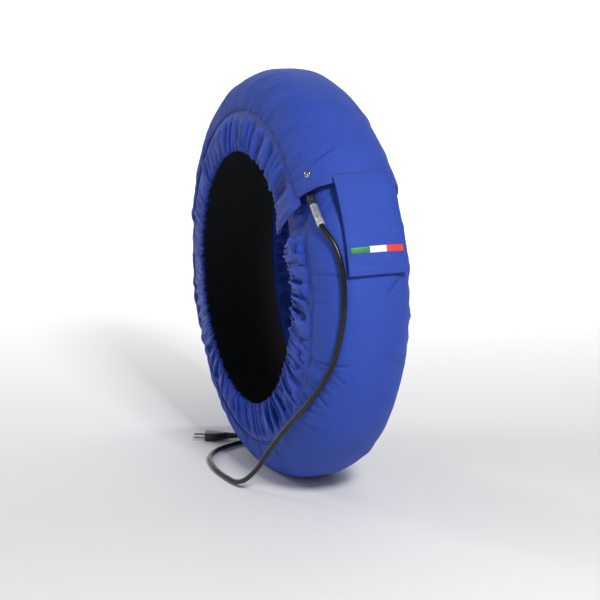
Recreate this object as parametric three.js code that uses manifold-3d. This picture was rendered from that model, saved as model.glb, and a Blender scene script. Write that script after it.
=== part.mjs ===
// Motorcycle tire warmer: a padded heating belt closed to a ring, with gathered side skirts that
// draw in round the wheel, a closure tab on the lapped end, and a power cord with a two-pin plug.
// Millimetres, +Z up. The ring's axis lies along Y and the ring stands on its tread at Z = 0.
// Angles are in degrees round the axis, from +X up towards +Z.
import * as THREE from "three";
import { mergeVertices } from "three/addons/utils/BufferGeometryUtils.js";
import Module from "manifold-3d";

const wasm = await Module();
wasm.setup();

// Clearance between pieces that lie against each other
const GAP = 0.3;

// The ring's section: a squarish padded body, then a skirt on each side down to its elastic hem
const OUTER_RADIUS = 312;
const FLAT_DEPTH = 7;
const BODY_HALF_WIDTH = 73;
const BODY_SQUARENESS = 2.5;
const SEAM_RADIUS = 252;
const WIDEST_INSIDE_SEAM = 24;
const HEM_RADIUS = 194;
const HEM_FLARE = 6;
const SKIRT_BULGE = 2.5;
const BULGE_AT = 0.45;

// Thicknesses of the layers, from the outside in
const COVER_THICKNESS = 1.2;
const PADDING_THICKNESS = 6;
const CARRIER_THICKNESS = 1;
const LINING_THICKNESS = 1;
const SKIRT_THICKNESS = 1;

// The lap: where the outer end stops, how far the inner end runs on under it, and how both lift
const LAP_ANGLE = 34.4;
const LAP_LENGTH = 9.6;
const COVER_STEPS = 48;
const FLAP_RISE_ARC = 25;
const END_DIP = 11;
const END_DIP_START = 22;
const END_DIP_ARC = 11;
const FLAP_HEM_THICKNESS = 0.8;
const TUCK_START = 22.5;
const TUCK_ARC = 4;
const SKIRT_TUCK = 10;

// Gathers
const PUCKER_HEIGHT = 2.2;
const FOLD_DEPTH = 3.6;
const HEM_FOLD_DEPTH = 3;
const HEM_TOOTH = 1.8;
const FOLD_SLANT = 1.1;
const LAP_FOLD_SHARE = 0.35;

// Elastic in each hem
const ELASTIC_THICKNESS = 2.2;
const ELASTIC_WIDTH = 4.8;

// Closure tab with its hook and loop tapes
const TAB_TOP_ANGLE = 36.2;
const TAB_BOTTOM_ANGLE = 10.1;
const TAB_NEAR_EDGE = 37;
const TAB_FAR_EDGE = 44;
const TAB_FLATNESS = 0.3;
const TAB_THICKNESS = 2.2;
const TAB_STEPS = 6;
const TAB_SEAT = 0.5;
const HOOK_THICKNESS = 2;
const LOOP_THICKNESS = 2.2;
const TAPE_MARGIN = 5;
const TAPE_LENGTH = 66;

// Three embroidered bars in a row on the tab
const STRIPE_ANGLE = 16.4;
const STRIPE_HEIGHT = 9;
const STRIPE_NEAR_EDGE = 33;
const STRIPE_LENGTH = 24;
const STRIPE_THICKNESS = 0.6;

// Heating wire, its leads and thermostat
const WIRE_DIAMETER = 1.4;
const LEAD_DIAMETER = 1.6;
const WIRE_OUTER_ROW = 0.5;
const WIRE_INNER_ROW = 0.16;
const WIRE_START_ANGLE = 58;
const WIRE_END_MARGIN = 4;
const THERMOSTAT_ANGLE = 53.2;
const THERMOSTAT_LENGTH = 18;
const THERMOSTAT_WIDTH = 8;
const THERMOSTAT_THICKNESS = 4.4;
const LEAD_ENTRY_ANGLE = 50.8;
const LEAD_ENTRY_SHARE = 0.66;
const RETURN_ANGLE = 51.8;
const CRIMP_LENGTH = 8;
const CRIMP_DIAMETER = 2;

// Rivet through the flap, and the strap that it holds round the cord
const RIVET_ANGLE = 40.1;
const RIVET_FROM_CORD = 18.5;
const RIVET_HEAD_DIAMETER = 10;
const RIVET_HEAD_HEIGHT = 2.4;
const RIVET_STUD_DIAMETER = 3.2;
const RIVET_WASHER_DIAMETER = 8;
const RIVET_WASHER_THICKNESS = 0.8;
const CLIP_THICKNESS = 0.8;
const CLIP_WIDTH = 8;

// Cord, boot and printed sleeves at its outlet
const CORD_DIAMETER = 7.6;
const BOOT_DIAMETER = 11;
const BOOT_LENGTH = 15;
const SLEEVE_DIAMETER = 10.4;
const SLEEVE_LENGTH = 27;
const BAND_DIAMETER = 11.2;
const BAND_LENGTH = 9;
const CORD_SIDES = 8;

// Coil that holds the rest of the cord, and its tie
const COIL_DIAMETER = 86;
const COIL_WIDTH = 17;
const COIL_HEIGHT = 17;
const COIL_CENTRE = [-190, 132];
const TIE_WIDTH = 9;
const TIE_THICKNESS = 1;

// Two-pin plug
const PLUG_LENGTH = 36;
const PLUG_WIDTH = 27;
const PLUG_HEIGHT = 13.7;
const PLUG_NECK_DIAMETER = 12;
const RELIEF_LENGTH = 26;
const PIN_DIAMETER = 4;
const PIN_LENGTH = 19;
const PIN_SPACING = 18.6;
const PIN_FACE_CENTRE = [-174, -84];
const PLUG_HEADING = 247.5;

// Sizes that follow from those above
const FLOOR = -(OUTER_RADIUS - FLAT_DEPTH);
const WIDEST_RADIUS = SEAM_RADIUS - WIDEST_INSIDE_SEAM;
const HEM_HALF_WIDTH = BODY_HALF_WIDTH + HEM_FLARE;
const BODY_HEIGHT = OUTER_RADIUS - WIDEST_RADIUS;
const SEAM_TURN = Math.acos(((SEAM_RADIUS - WIDEST_RADIUS) / BODY_HEIGHT) ** (BODY_SQUARENESS / 2));
const TAB_STANDOFF = 3 * GAP + LOOP_THICKNESS + HOOK_THICKNESS;
const FLAP_RISE = TAB_STANDOFF - TAB_SEAT;
const CHANNEL = CRIMP_DIAMETER + 3 * GAP;
const PADDING_TOP = COVER_THICKNESS + GAP;
const PADDING_BOTTOM = PADDING_TOP + PADDING_THICKNESS;
const CARRIER_TOP = PADDING_BOTTOM + CHANNEL;
const CARRIER_BOTTOM = CARRIER_TOP + CARRIER_THICKNESS;
const LINING_TOP = CARRIER_BOTTOM + GAP;
const LINING_BOTTOM = LINING_TOP + LINING_THICKNESS;
const SKIRT_TOP_DEPTH = COVER_THICKNESS + 2 * GAP;
const SEAM_STACK = SKIRT_TOP_DEPTH + SKIRT_THICKNESS + GAP;

// Materials, as seen in the cloth and fittings
const material = (color, roughness, metalness = 0) => {
  return new THREE.MeshStandardMaterial({ color, roughness, metalness });
};
const NYLON = () => material(0x2b45b8, 0.75);
const SKIRT_NYLON = () => material(0x2540ad, 0.7);
const BLACK_RUBBER = () => material(0x0c0c0d, 0.45);
const POLISHED_METAL = () => material(0xc9ccd0, 0.2, 1);

// A repeatable scatter between 0 and 1 for the folds, which differ from one to the next
function scatter(index, seed) {
  const value = Math.sin(index * 12.9898 + seed * 78.233) * 43758.5453;
  return value - Math.floor(value);
}

const smooth = (share) => THREE.MathUtils.smoothstep(share, 0, 1);
const lerp = THREE.MathUtils.lerp;

// Section of the ring at a share of the way: 0 crown, 1 seam, 2 elastic hem
function section(share) {
  const turn = Math.min(share, 1) * SEAM_TURN;
  const rise = Math.cos(turn) ** (2 / BODY_SQUARENESS);
  const reach = Math.sin(turn) ** (2 / BODY_SQUARENESS);
  const slope = BODY_SQUARENESS - 1;
  const normal = new THREE.Vector2(rise ** slope / BODY_HEIGHT, reach ** slope / BODY_HALF_WIDTH);
  normal.normalize();
  const radius = WIDEST_RADIUS + BODY_HEIGHT * rise;
  const y = BODY_HALF_WIDTH * reach;
  if (share <= 1) return { radius, y, normal };
  const down = share - 1;
  const bulge = SKIRT_BULGE * Math.min(down / BULGE_AT, (1 - down) / (1 - BULGE_AT));
  return {
    radius: lerp(SEAM_RADIUS, HEM_RADIUS, down),
    y: lerp(y, HEM_HALF_WIDTH, down) + bulge,
    normal: normal.lerp(new THREE.Vector2(0, 1), Math.min(down, 1)).normalize(),
  };
}

// A point of the ring: angle, signed share of the section and depth under the outer surface.
// The tread rests on the floor, and each layer is pressed flat at its own depth there.
function ringPoint(angle, share, depth) {
  const at = section(Math.abs(share));
  const radius = at.radius - at.normal.x * depth;
  const y = Math.sign(share) * (at.y - at.normal.y * depth);
  const turn = THREE.MathUtils.degToRad(angle);
  const z = Math.max(radius * Math.sin(turn), FLOOR + Math.max(depth, 0));
  return new THREE.Vector3(radius * Math.cos(turn), y, z);
}

// Share of the section at a distance from the ring's middle plane
function shareAt(y) {
  return Math.asin((Math.abs(y) / BODY_HALF_WIDTH) ** (BODY_SQUARENESS / 2)) / SEAM_TURN * Math.sign(y);
}

// Columns of the cover, from its outer end round the ring to its inner end under the lap
const COVER_SPAN = 360 + LAP_LENGTH;
const COVER_STEP = COVER_SPAN / COVER_STEPS;
const coverColumns = Array.from({ length: COVER_STEPS + 1 }, (_, i) => LAP_ANGLE + i * COVER_STEP);
const COVER_HALF_ROWS = [WIRE_INNER_ROW, 0.33, WIRE_OUTER_ROW, 0.76, 0.9, 1];
const BELT_HALF_ROWS = [WIRE_INNER_ROW, WIRE_OUTER_ROW, 0.76];
const mirrored = (half) => [...half.map((share) => -share).reverse(), ...half];
const COVER_ROWS = mirrored(COVER_HALF_ROWS).toSpliced(COVER_HALF_ROWS.length, 0, 0);
const BELT_ROWS = mirrored(BELT_HALF_ROWS);
const beltColumns = coverColumns.filter((_, i) => i % 2 === 0 && i > 0 && i < COVER_STEPS - 1);

// Height of the cover over the plain ring: the flap rises at the lap and the inner end dips under it
function lapLift(angle) {
  const flap = FLAP_RISE * (1 - smooth((angle - LAP_ANGLE) / FLAP_RISE_ARC));
  const end = END_DIP * smooth((angle - 360 - END_DIP_START) / END_DIP_ARC);
  return flap - end;
}

// The same height between two columns of the cover, where its cloth runs straight
function coverLift(angle) {
  const place = THREE.MathUtils.clamp((angle - LAP_ANGLE) / COVER_STEP, 0, COVER_STEPS);
  const low = Math.min(Math.floor(place), COVER_STEPS - 1);
  return lerp(lapLift(coverColumns[low]), lapLift(coverColumns[low + 1]), place - low);
}

// A closed surface from a front and a back grid of points of the same size
function closedSheet(front, back) {
  const columns = front.length;
  const rows = front[0].length;
  const positions = [...front.flat(), ...back.flat()].flatMap((p) => [p.x, p.y, p.z]);
  const at = (side, i, j) => (side * columns + i) * rows + j;
  const faces = [];
  const quad = (a, b, c, d) => faces.push(a, b, c, a, c, d);
  for (let i = 0; i < columns - 1; i++) {
    for (let j = 0; j < rows - 1; j++) {
      quad(at(0, i, j), at(0, i + 1, j), at(0, i + 1, j + 1), at(0, i, j + 1));
      quad(at(1, i, j), at(1, i, j + 1), at(1, i + 1, j + 1), at(1, i + 1, j));
    }
    quad(at(0, i, 0), at(1, i, 0), at(1, i + 1, 0), at(0, i + 1, 0));
    quad(at(0, i, rows - 1), at(0, i + 1, rows - 1), at(1, i + 1, rows - 1), at(1, i, rows - 1));
  }
  for (let j = 0; j < rows - 1; j++) {
    quad(at(0, 0, j), at(0, 0, j + 1), at(1, 0, j + 1), at(1, 0, j));
    const last = columns - 1;
    quad(at(0, last, j), at(1, last, j), at(1, last, j + 1), at(0, last, j + 1));
  }
  return facingOut(positions, faces);
}

// An indexed geometry with its faces turned outwards
function facingOut(positions, faces) {
  let volume = 0;
  const corner = (k) => new THREE.Vector3().fromArray(positions, faces[k] * 3);
  for (let k = 0; k < faces.length; k += 3) {
    volume += corner(k).dot(corner(k + 1).cross(corner(k + 2)));
  }
  if (volume < 0) faces.reverse();
  const geometry = new THREE.BufferGeometry();
  geometry.setAttribute("position", new THREE.Float32BufferAttribute(positions, 3));
  geometry.setIndex(faces);
  geometry.computeVertexNormals();
  return geometry;
}

// Any closed three.js geometry, with its vertices shared and its faces turned outwards
function tidySolid(geometry) {
  const plain = geometry.clone();
  plain.deleteAttribute("normal");
  plain.deleteAttribute("uv");
  const merged = mergeVertices(plain, 1e-4);
  return facingOut(Array.from(merged.attributes.position.array), Array.from(merged.index.array));
}

function toManifold(geometry) {
  const tidy = mergeVertices(new THREE.BufferGeometry()
    .setAttribute("position", geometry.getAttribute("position"))
    .setIndex(geometry.index), 1e-4);
  return new wasm.Manifold(new wasm.Mesh({
    numProp: 3,
    vertProperties: new Float32Array(tidy.attributes.position.array),
    triVerts: new Uint32Array(tidy.index.array),
  }));
}

function fromManifold(solid) {
  const mesh = solid.getMesh();
  return facingOut(Array.from(mesh.vertProperties), Array.from(mesh.triVerts));
}

// One solid with others cut out of it
function cut(geometry, ...tools) {
  return fromManifold(tools.reduce((solid, tool) => solid.subtract(toManifold(tool)), toManifold(geometry)));
}

// Several solids made one
function join(geometry, ...others) {
  return fromManifold(others.reduce((solid, other) => solid.add(toManifold(other)), toManifold(geometry)));
}

// Places a geometry with its own +Y along a direction, at a point
function alongAxis(geometry, point, direction) {
  const turn = new THREE.Quaternion().setFromUnitVectors(new THREE.Vector3(0, 1, 0), direction);
  geometry.applyQuaternion(turn);
  geometry.translate(point.x, point.y, point.z);
  return tidySolid(geometry);
}

// A turned solid from its half profile of radius and height, both ends on the axis
function turned(profile, sides) {
  return new THREE.LatheGeometry(profile.map(([r, h]) => new THREE.Vector2(r, h)), sides);
}

const root = new THREE.Group();
const ring = new THREE.Group();
root.add(ring);

function addPiece(name, geometry, look) {
  const mesh = new THREE.Mesh(geometry, look);
  mesh.name = name;
  ring.add(mesh);
  return mesh;
}

// Outer cover: one strip of cloth over crown and sides, puckered beside the seams
function pucker(column, share) {
  if (column < 3 || column > COVER_STEPS - 4) return 0;
  const beside = smooth((Math.abs(share) - 0.5) / 0.3) * smooth((1 - Math.abs(share)) / 0.1);
  return PUCKER_HEIGHT * beside * scatter(column, share > 0 ? 1 : 2);
}

// The flap's edge is turned under, which thickens it over its first step
function flapHem(angle) {
  return FLAP_HEM_THICKNESS * Math.max(0, 1 - (angle - LAP_ANGLE) / COVER_STEP);
}

function coverPoint(angle, share, depth) {
  const column = Math.round((angle - LAP_ANGLE) / COVER_STEP);
  const hem = depth > 0 ? flapHem(angle) : 0;
  return ringPoint(angle, share, depth + hem - lapLift(angle) - pucker(column, share));
}

function coverSurface(depth) {
  return coverColumns.map((angle) => COVER_ROWS.map((share) => coverPoint(angle, share, depth)));
}

function outerCover() {
  const sheet = closedSheet(coverSurface(0), coverSurface(COVER_THICKNESS));
  const hole = rivetTurned([[0, -12], [RIVET_STUD_DIAMETER / 2 + GAP, -12],
    [RIVET_STUD_DIAMETER / 2 + GAP, 12], [0, 12]]);
  return cut(sheet, hole);
}

// Skirts: cloth gathered from the seam to a hem that folds back round the elastic.
// Each row has its share of the section, the depths of its two faces and how far its folds move.
const SKIRT_ROWS = [
  { share: 0.95, front: SKIRT_TOP_DEPTH, back: SKIRT_TOP_DEPTH + SKIRT_THICKNESS, fold: 0 },
  { share: 1.02, front: SKIRT_TOP_DEPTH, back: SKIRT_TOP_DEPTH + SKIRT_THICKNESS, fold: 0 },
  { share: 1 + BULGE_AT, front: 0, back: SKIRT_THICKNESS, fold: FOLD_DEPTH },
];
const POCKET_TOP = SKIRT_THICKNESS;
const POCKET_BOTTOM = POCKET_TOP + ELASTIC_THICKNESS + 2 * GAP;
const SKIRT_WIDTH = SEAM_RADIUS - HEM_RADIUS;
const HEM_END = 2;
const POCKET_END = HEM_END - SKIRT_THICKNESS / SKIRT_WIDTH;
const POCKET_MOUTH = POCKET_END - (ELASTIC_WIDTH + 3 * GAP) / SKIRT_WIDTH;
const HEM_ROWS = [
  [{ share: HEM_END, depth: 0 }, { share: POCKET_END, depth: POCKET_TOP }],
  [{ share: HEM_END, depth: POCKET_BOTTOM + SKIRT_THICKNESS }, { share: POCKET_END, depth: POCKET_BOTTOM }],
  [{ share: POCKET_MOUTH, depth: POCKET_BOTTOM + SKIRT_THICKNESS }, { share: POCKET_MOUTH, depth: POCKET_BOTTOM }],
];

// Columns of a skirt: a crest at each column of the cover and a valley between two of them
function skirtColumns(seed) {
  const count = 2 * COVER_STEPS + 1;
  return Array.from({ length: count }, (_, i) => {
    const stray = i % 2 === 0 ? 0 : (scatter(i, seed) - 0.5) * 0.4;
    return LAP_ANGLE + (i + stray) * COVER_STEP / 2;
  });
}

// How far the skirt's cloth stands proud of, or is tucked under, the plain section
function skirtLift(angle) {
  const flap = FLAP_RISE * (1 - smooth((angle - LAP_ANGLE) / FLAP_RISE_ARC));
  return flap - SKIRT_TUCK * smooth((angle - 360 - TUCK_START) / TUCK_ARC);
}

// Share of the full fold that a column has: small in the lap, and never alike
function foldShare(index, angle, seed) {
  const lapped = angle < LAP_ANGLE + LAP_LENGTH || angle > 360 + TUCK_START + TUCK_ARC;
  const side = index % 2 === 0 ? 1 : -1;
  return side * lerp(0.35, 1, scatter(index, seed + 3)) * (lapped ? LAP_FOLD_SHARE : 1);
}

function skirtPoint(column, share, depth, fold, side) {
  const { angle, move, slant } = column;
  const free = share > 1.1;
  const lift = free ? skirtLift(angle) : coverLift(angle) - flapHem(angle);
  const tooth = share > 1.6 ? HEM_TOOTH * move / SKIRT_WIDTH : 0;
  const leaned = angle + (free ? slant * (share - 1) : 0);
  return ringPoint(leaned, side * (share + tooth), depth - lift - fold * move);
}

function skirtGrid(side, seed) {
  return skirtColumns(seed).map((angle, i) => ({
    angle,
    move: foldShare(i, angle, seed),
    slant: FOLD_SLANT * (scatter(Math.floor(i / 6), seed + 5) - 0.5) * 2,
  }));
}

function gatheredSkirt(side, seed) {
  const columns = skirtGrid(side, seed);
  const face = (which) => columns.map((column) => [
    ...SKIRT_ROWS.map((row) => skirtPoint(column, row.share, row[which], row.fold, side)),
    ...HEM_ROWS.map((pair) => {
      const spot = pair[which === "front" ? 0 : 1];
      return skirtPoint(column, spot.share, spot.depth, HEM_FOLD_DEPTH, side);
    }),
  ]);
  return closedSheet(face("front"), face("back"));
}

// Elastic: a band inside the hem's fold, drawn into the same gathers
function hemElastic(side, seed) {
  const columns = skirtGrid(side, seed);
  const outer = POCKET_END - 1.5 * GAP / SKIRT_WIDTH;
  const inner = outer - ELASTIC_WIDTH / SKIRT_WIDTH;
  const face = (depth) => columns.map((column) => [inner, outer].map((share) => {
    return skirtPoint(column, share, depth, HEM_FOLD_DEPTH, side);
  }));
  return closedSheet(face(POCKET_TOP + GAP), face(POCKET_TOP + GAP + ELASTIC_THICKNESS));
}

// Layers of the heating belt, which stop short of the lap
function beltLayer(top, bottom) {
  const face = (depth) => beltColumns.map((angle) => BELT_ROWS.map((share) => {
    return ringPoint(angle, share, depth - lapLift(angle));
  }));
  return closedSheet(face(top), face(bottom));
}

// The lining runs on past the belt to the seams, where it lies behind the skirts' edges
function innerLining() {
  const rows = [-1, ...BELT_ROWS, 1];
  const face = (middle, edge) => beltColumns.map((angle) => rows.map((share) => {
    const depth = Math.abs(share) === 1 ? edge : middle;
    return ringPoint(angle, share, depth - lapLift(angle));
  }));
  return closedSheet(face(LINING_TOP, SEAM_STACK), face(LINING_BOTTOM, SEAM_STACK + LINING_THICKNESS));
}

// The span of a list that a value falls in, and the share of the way across it
function spanOf(list, value) {
  let low = list.findIndex((_, i) => i < list.length - 1 && value <= list[i + 1]);
  if (low < 0) low = list.length - 2;
  return { low, share: (value - list[low]) / (list[low + 1] - list[low]) };
}

// A place on a sheet made of flat facets between its columns and rows
function facetPoint(columns, rows, angle, share, pointAt) {
  const across = spanOf(columns, angle);
  const along = spanOf(rows, share);
  const edge = (column) => pointAt(column, rows[along.low])
    .lerp(pointAt(column, rows[along.low + 1]), along.share);
  return edge(columns[across.low]).lerp(edge(columns[across.low + 1]), across.share);
}

function beltPoint(angle, share, depth) {
  return facetPoint(beltColumns, BELT_ROWS, angle, share, (column, row) => {
    return ringPoint(column, row, depth - lapLift(column));
  });
}

// A place in the belt with the direction straight out of its surface
function beltSpot(angle, share, depth) {
  const point = beltPoint(angle, share, depth);
  const out = beltPoint(angle, share, depth - 1).sub(point).normalize();
  return { point, out };
}

// Path along the belt from one place to another, with a stop at each column or row it crosses
function beltPath(from, to, depth) {
  const stops = [0, 1];
  const addStops = (list, key) => {
    for (const value of list) {
      const share = (value - from[key]) / (to[key] - from[key]);
      if (share > 0.01 && share < 0.99) stops.push(share);
    }
  };
  if (from.angle !== to.angle) addStops(beltColumns, "angle");
  if (from.share !== to.share) addStops(BELT_ROWS, "share");
  stops.sort((a, b) => a - b);
  return stops.map((s) => beltSpot(lerp(from.angle, to.angle, s), lerp(from.share, to.share, s), depth));
}

// A square-section rod through a list of spots, held upright to the surface
function surfaceRod(spots, size) {
  const last = spots.length - 1;
  const rings = spots.map(({ point, out }, i) => {
    const before = spots[Math.max(i - 1, 0)].point;
    const after = spots[Math.min(i + 1, last)].point;
    const along = after.clone().sub(before).normalize();
    const across = new THREE.Vector3().crossVectors(along, out).normalize().multiplyScalar(size / 2);
    const up = out.clone().multiplyScalar(size / 2);
    return { point, across, up };
  });
  const face = (sign) => rings.map(({ point, across, up }) => [-1, 1].map((way) => {
    return point.clone().addScaledVector(across, way).addScaledVector(up, sign);
  }));
  return closedSheet(face(1), face(-1));
}

// Heating wire: four runs along the belt joined by three hairpins
const WIRE_DEPTH = CARRIER_TOP - GAP - WIRE_DIAMETER / 2;
const LEAD_DEPTH = CARRIER_TOP - 1.5 * GAP - LEAD_DIAMETER / 2;
const WIRE_FAR_END = beltColumns[beltColumns.length - 1] - WIRE_END_MARGIN;
const THERMOSTAT_ARC = THREE.MathUtils.radToDeg(THERMOSTAT_LENGTH / (OUTER_RADIUS - CARRIER_TOP));
const CRIMP_ARC = THREE.MathUtils.radToDeg(CRIMP_LENGTH / (OUTER_RADIUS - CARRIER_TOP));
const GAP_ARC = THREE.MathUtils.radToDeg(1.5 * GAP / (OUTER_RADIUS - CARRIER_TOP));
const WIRE_FIRST_ANGLE = THERMOSTAT_ANGLE + THERMOSTAT_ARC + CRIMP_ARC + 2 * GAP_ARC;

function heatingWire() {
  const corners = [
    { angle: WIRE_FIRST_ANGLE, share: -WIRE_OUTER_ROW },
    { angle: WIRE_FAR_END, share: -WIRE_OUTER_ROW },
    { angle: WIRE_FAR_END, share: -WIRE_INNER_ROW },
    { angle: WIRE_START_ANGLE, share: -WIRE_INNER_ROW },
    { angle: WIRE_START_ANGLE, share: WIRE_INNER_ROW },
    { angle: WIRE_FAR_END, share: WIRE_INNER_ROW },
    { angle: WIRE_FAR_END, share: WIRE_OUTER_ROW },
    { angle: WIRE_START_ANGLE, share: WIRE_OUTER_ROW },
  ];
  const spots = corners.slice(1).flatMap((corner, i) => {
    const path = beltPath(corners[i], corner, WIRE_DEPTH);
    return i === 0 ? path : path.slice(1);
  });
  return surfaceRod(spots, WIRE_DIAMETER);
}

// Thermostat: a flat metal can let into the padding, at the start of the first run
function thermostatBlock(margin) {
  const depth = CARRIER_TOP - 2 * GAP - THERMOSTAT_THICKNESS / 2;
  const middle = THERMOSTAT_ANGLE + THERMOSTAT_ARC / 2;
  const { point, out } = beltSpot(middle, -WIRE_OUTER_ROW, depth);
  const ahead = beltPoint(middle + 1, -WIRE_OUTER_ROW, depth).sub(point);
  const along = ahead.addScaledVector(out, -ahead.dot(out)).normalize();
  const across = new THREE.Vector3().crossVectors(along, out);
  const box = new THREE.BoxGeometry(THERMOSTAT_LENGTH + 2 * margin, THERMOSTAT_WIDTH + 2 * margin,
    THERMOSTAT_THICKNESS + 2 * margin);
  box.applyMatrix4(new THREE.Matrix4().makeBasis(along, across, out).setPosition(point));
  return tidySolid(box);
}

function beltLead(corners) {
  const spots = corners.slice(1).flatMap((corner, i) => {
    const path = beltPath(corners[i], corner, LEAD_DEPTH);
    return i === 0 ? path : path.slice(1);
  });
  return spots;
}

// Leads start beside each other at the end of the cord's jacket, which points up under the flap
function withCordEnd(spots, side) {
  const { out } = beltSpot(beltColumns[0], -LEAD_ENTRY_SHARE, LEAD_DEPTH);
  const across = new THREE.Vector3().crossVectors(out, OUTLET_WAY).normalize();
  const aside = across.multiplyScalar(side * LEAD_DIAMETER * 0.8);
  const start = outletPoint(-2 * GAP).add(aside);
  const edge = beltColumns[0];
  const mouth = ringPoint(edge - 0.8, -LEAD_ENTRY_SHARE, LEAD_DEPTH - lapLift(edge)).add(aside);
  return [{ point: start, out }, { point: mouth, out }, ...spots];
}

function crimpAt(angle, share) {
  const depth = CARRIER_TOP - GAP - CRIMP_DIAMETER / 2;
  return surfaceRod(beltPath({ angle, share }, { angle: angle + CRIMP_ARC, share }, depth), CRIMP_DIAMETER);
}

// Closure tab: runs from the flap down over the lower end, a little flatter than the crown
const tabColumns = Array.from({ length: TAB_STEPS + 1 }, (_, i) => {
  return lerp(TAB_BOTTOM_ANGLE, TAB_TOP_ANGLE, i / TAB_STEPS);
});
const TAB_SHARES = [shareAt(-TAB_NEAR_EDGE), shareAt(TAB_FAR_EDGE)];
const tabRows = [
  TAB_SHARES[0],
  ...COVER_ROWS.filter((share) => share > TAB_SHARES[0] + 0.02 && share < TAB_SHARES[1] - 0.02),
  TAB_SHARES[1],
];

function tabPatch(columns, rows, low, high, flatness = TAB_FLATNESS) {
  const face = (height) => columns.map((angle) => rows.map((share) => {
    return facetPoint(tabColumns, tabRows, angle, share, (column, row) => {
      const drop = OUTER_RADIUS - section(Math.abs(row)).radius;
      return ringPoint(column, row, -height - flatness * drop);
    });
  }));
  return closedSheet(face(high), face(low));
}

function rowsBetween(low, high) {
  return [low, ...tabRows.filter((share) => share > low + 0.01 && share < high - 0.01), high];
}

const TAPE_ARC = THREE.MathUtils.radToDeg(TAPE_LENGTH / OUTER_RADIUS);
const TAPE_START = TAB_BOTTOM_ANGLE + THREE.MathUtils.radToDeg(TAPE_MARGIN / OUTER_RADIUS);
const TAPE_END = TAPE_START + TAPE_ARC;
const tapeColumns = [
  TAPE_START,
  ...tabColumns.filter((angle) => angle > TAPE_START + 0.5 && angle < TAPE_END - 0.5),
  TAPE_END,
];
const tapeRows = rowsBetween(shareAt(TAPE_MARGIN - TAB_NEAR_EDGE), shareAt(TAB_FAR_EDGE - TAPE_MARGIN));

function stripe(order) {
  const half = THREE.MathUtils.radToDeg(STRIPE_HEIGHT / 2 / OUTER_RADIUS);
  const from = -STRIPE_NEAR_EDGE + order * (STRIPE_LENGTH + GAP);
  const rows = rowsBetween(shareAt(from), shareAt(from + STRIPE_LENGTH));
  const base = TAB_STANDOFF + TAB_THICKNESS + GAP;
  return tabPatch([STRIPE_ANGLE - half, STRIPE_ANGLE + half], rows, base, base + STRIPE_THICKNESS);
}

// Rivet: a domed head with its stud, through flap and strap to a washer behind them. Its place is
// found by walking over the surface from the cord towards the crown.
function rivetShare() {
  let share = OUTLET_SHARE;
  let last = ringPoint(RIVET_ANGLE, share, 0);
  let walked = 0;
  while (walked < RIVET_FROM_CORD) {
    share += 0.0005;
    const next = ringPoint(RIVET_ANGLE, share, 0);
    walked += next.distanceTo(last);
    last = next;
  }
  return share;
}

function rivetSeat() {
  const share = rivetShare();
  const spot = (depth) => facetPoint(coverColumns, COVER_ROWS, RIVET_ANGLE, share,
    (column, row) => coverPoint(column, row, depth));
  const point = spot(0);
  return { point, out: spot(-1).sub(point).normalize() };
}

function rivetTurned(profile) {
  const { point, out } = rivetSeat();
  return alongAxis(turned(profile, 12), point, out);
}

const STRAP_TOP = -(COVER_THICKNESS + FLAP_HEM_THICKNESS + 3 * GAP);
const WASHER_TOP = STRAP_TOP - CLIP_THICKNESS - GAP;

function rivetHead() {
  const head = RIVET_HEAD_DIAMETER / 2;
  const stud = RIVET_STUD_DIAMETER / 2;
  const foot = WASHER_TOP - RIVET_WASHER_THICKNESS - GAP;
  const rest = 2 * GAP;
  return rivetTurned([[0, foot], [stud, foot], [stud, rest], [head, rest], [head, rest + 0.6],
    [head * 0.8, rest + RIVET_HEAD_HEIGHT * 0.7], [head * 0.4, rest + RIVET_HEAD_HEIGHT * 0.95],
    [0, rest + RIVET_HEAD_HEIGHT]]);
}

function rivetWasher() {
  const bore = RIVET_STUD_DIAMETER / 2 + GAP;
  const rim = RIVET_WASHER_DIAMETER / 2;
  const foot = WASHER_TOP - RIVET_WASHER_THICKNESS;
  return rivetTurned([[bore, foot], [rim, foot], [rim, WASHER_TOP], [bore, WASHER_TOP], [bore, foot]]);
}

// The cord leaves between flap and inner end and runs straight through boot and sleeves
const OUTLET_SHARE = -0.86;
const OUTLET_START = ringPoint(41.5, OUTLET_SHARE, 5.3);
const SLEEVE_END = ringPoint(24.4, -0.62, -7);
const OUTLET_WAY = SLEEVE_END.clone().sub(OUTLET_START).normalize();
const OUTLET_LENGTH = SLEEVE_END.distanceTo(OUTLET_START);
const outletPoint = (distance) => OUTLET_START.clone().addScaledVector(OUTLET_WAY, distance);
const BAND_START = OUTLET_LENGTH - BAND_LENGTH;
const SLEEVE_START = BAND_START - GAP - SLEEVE_LENGTH;
const BOOT_START = SLEEVE_START - GAP - BOOT_LENGTH;

function tubeOnCord(start, length, diameter) {
  const bore = CORD_DIAMETER / 2 + GAP;
  const rim = diameter / 2;
  const profile = [[bore, 0], [rim, 0], [rim, length], [bore, length], [bore, 0]];
  return alongAxis(turned(profile, 14), outletPoint(start), OUTLET_WAY);
}

function cableBoot() {
  const bore = CORD_DIAMETER / 2 + GAP;
  const rim = BOOT_DIAMETER / 2;
  const profile = [[bore, 0], [rim - 0.6, 0], [rim, 1], [rim, BOOT_LENGTH * 0.55], [rim - 1, BOOT_LENGTH * 0.6],
    [rim - 1, BOOT_LENGTH * 0.7], [rim - 0.4, BOOT_LENGTH * 0.75], [rim - 0.6, BOOT_LENGTH],
    [bore, BOOT_LENGTH], [bore, 0]];
  return alongAxis(turned(profile, 14), outletPoint(BOOT_START), OUTLET_WAY);
}

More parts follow.
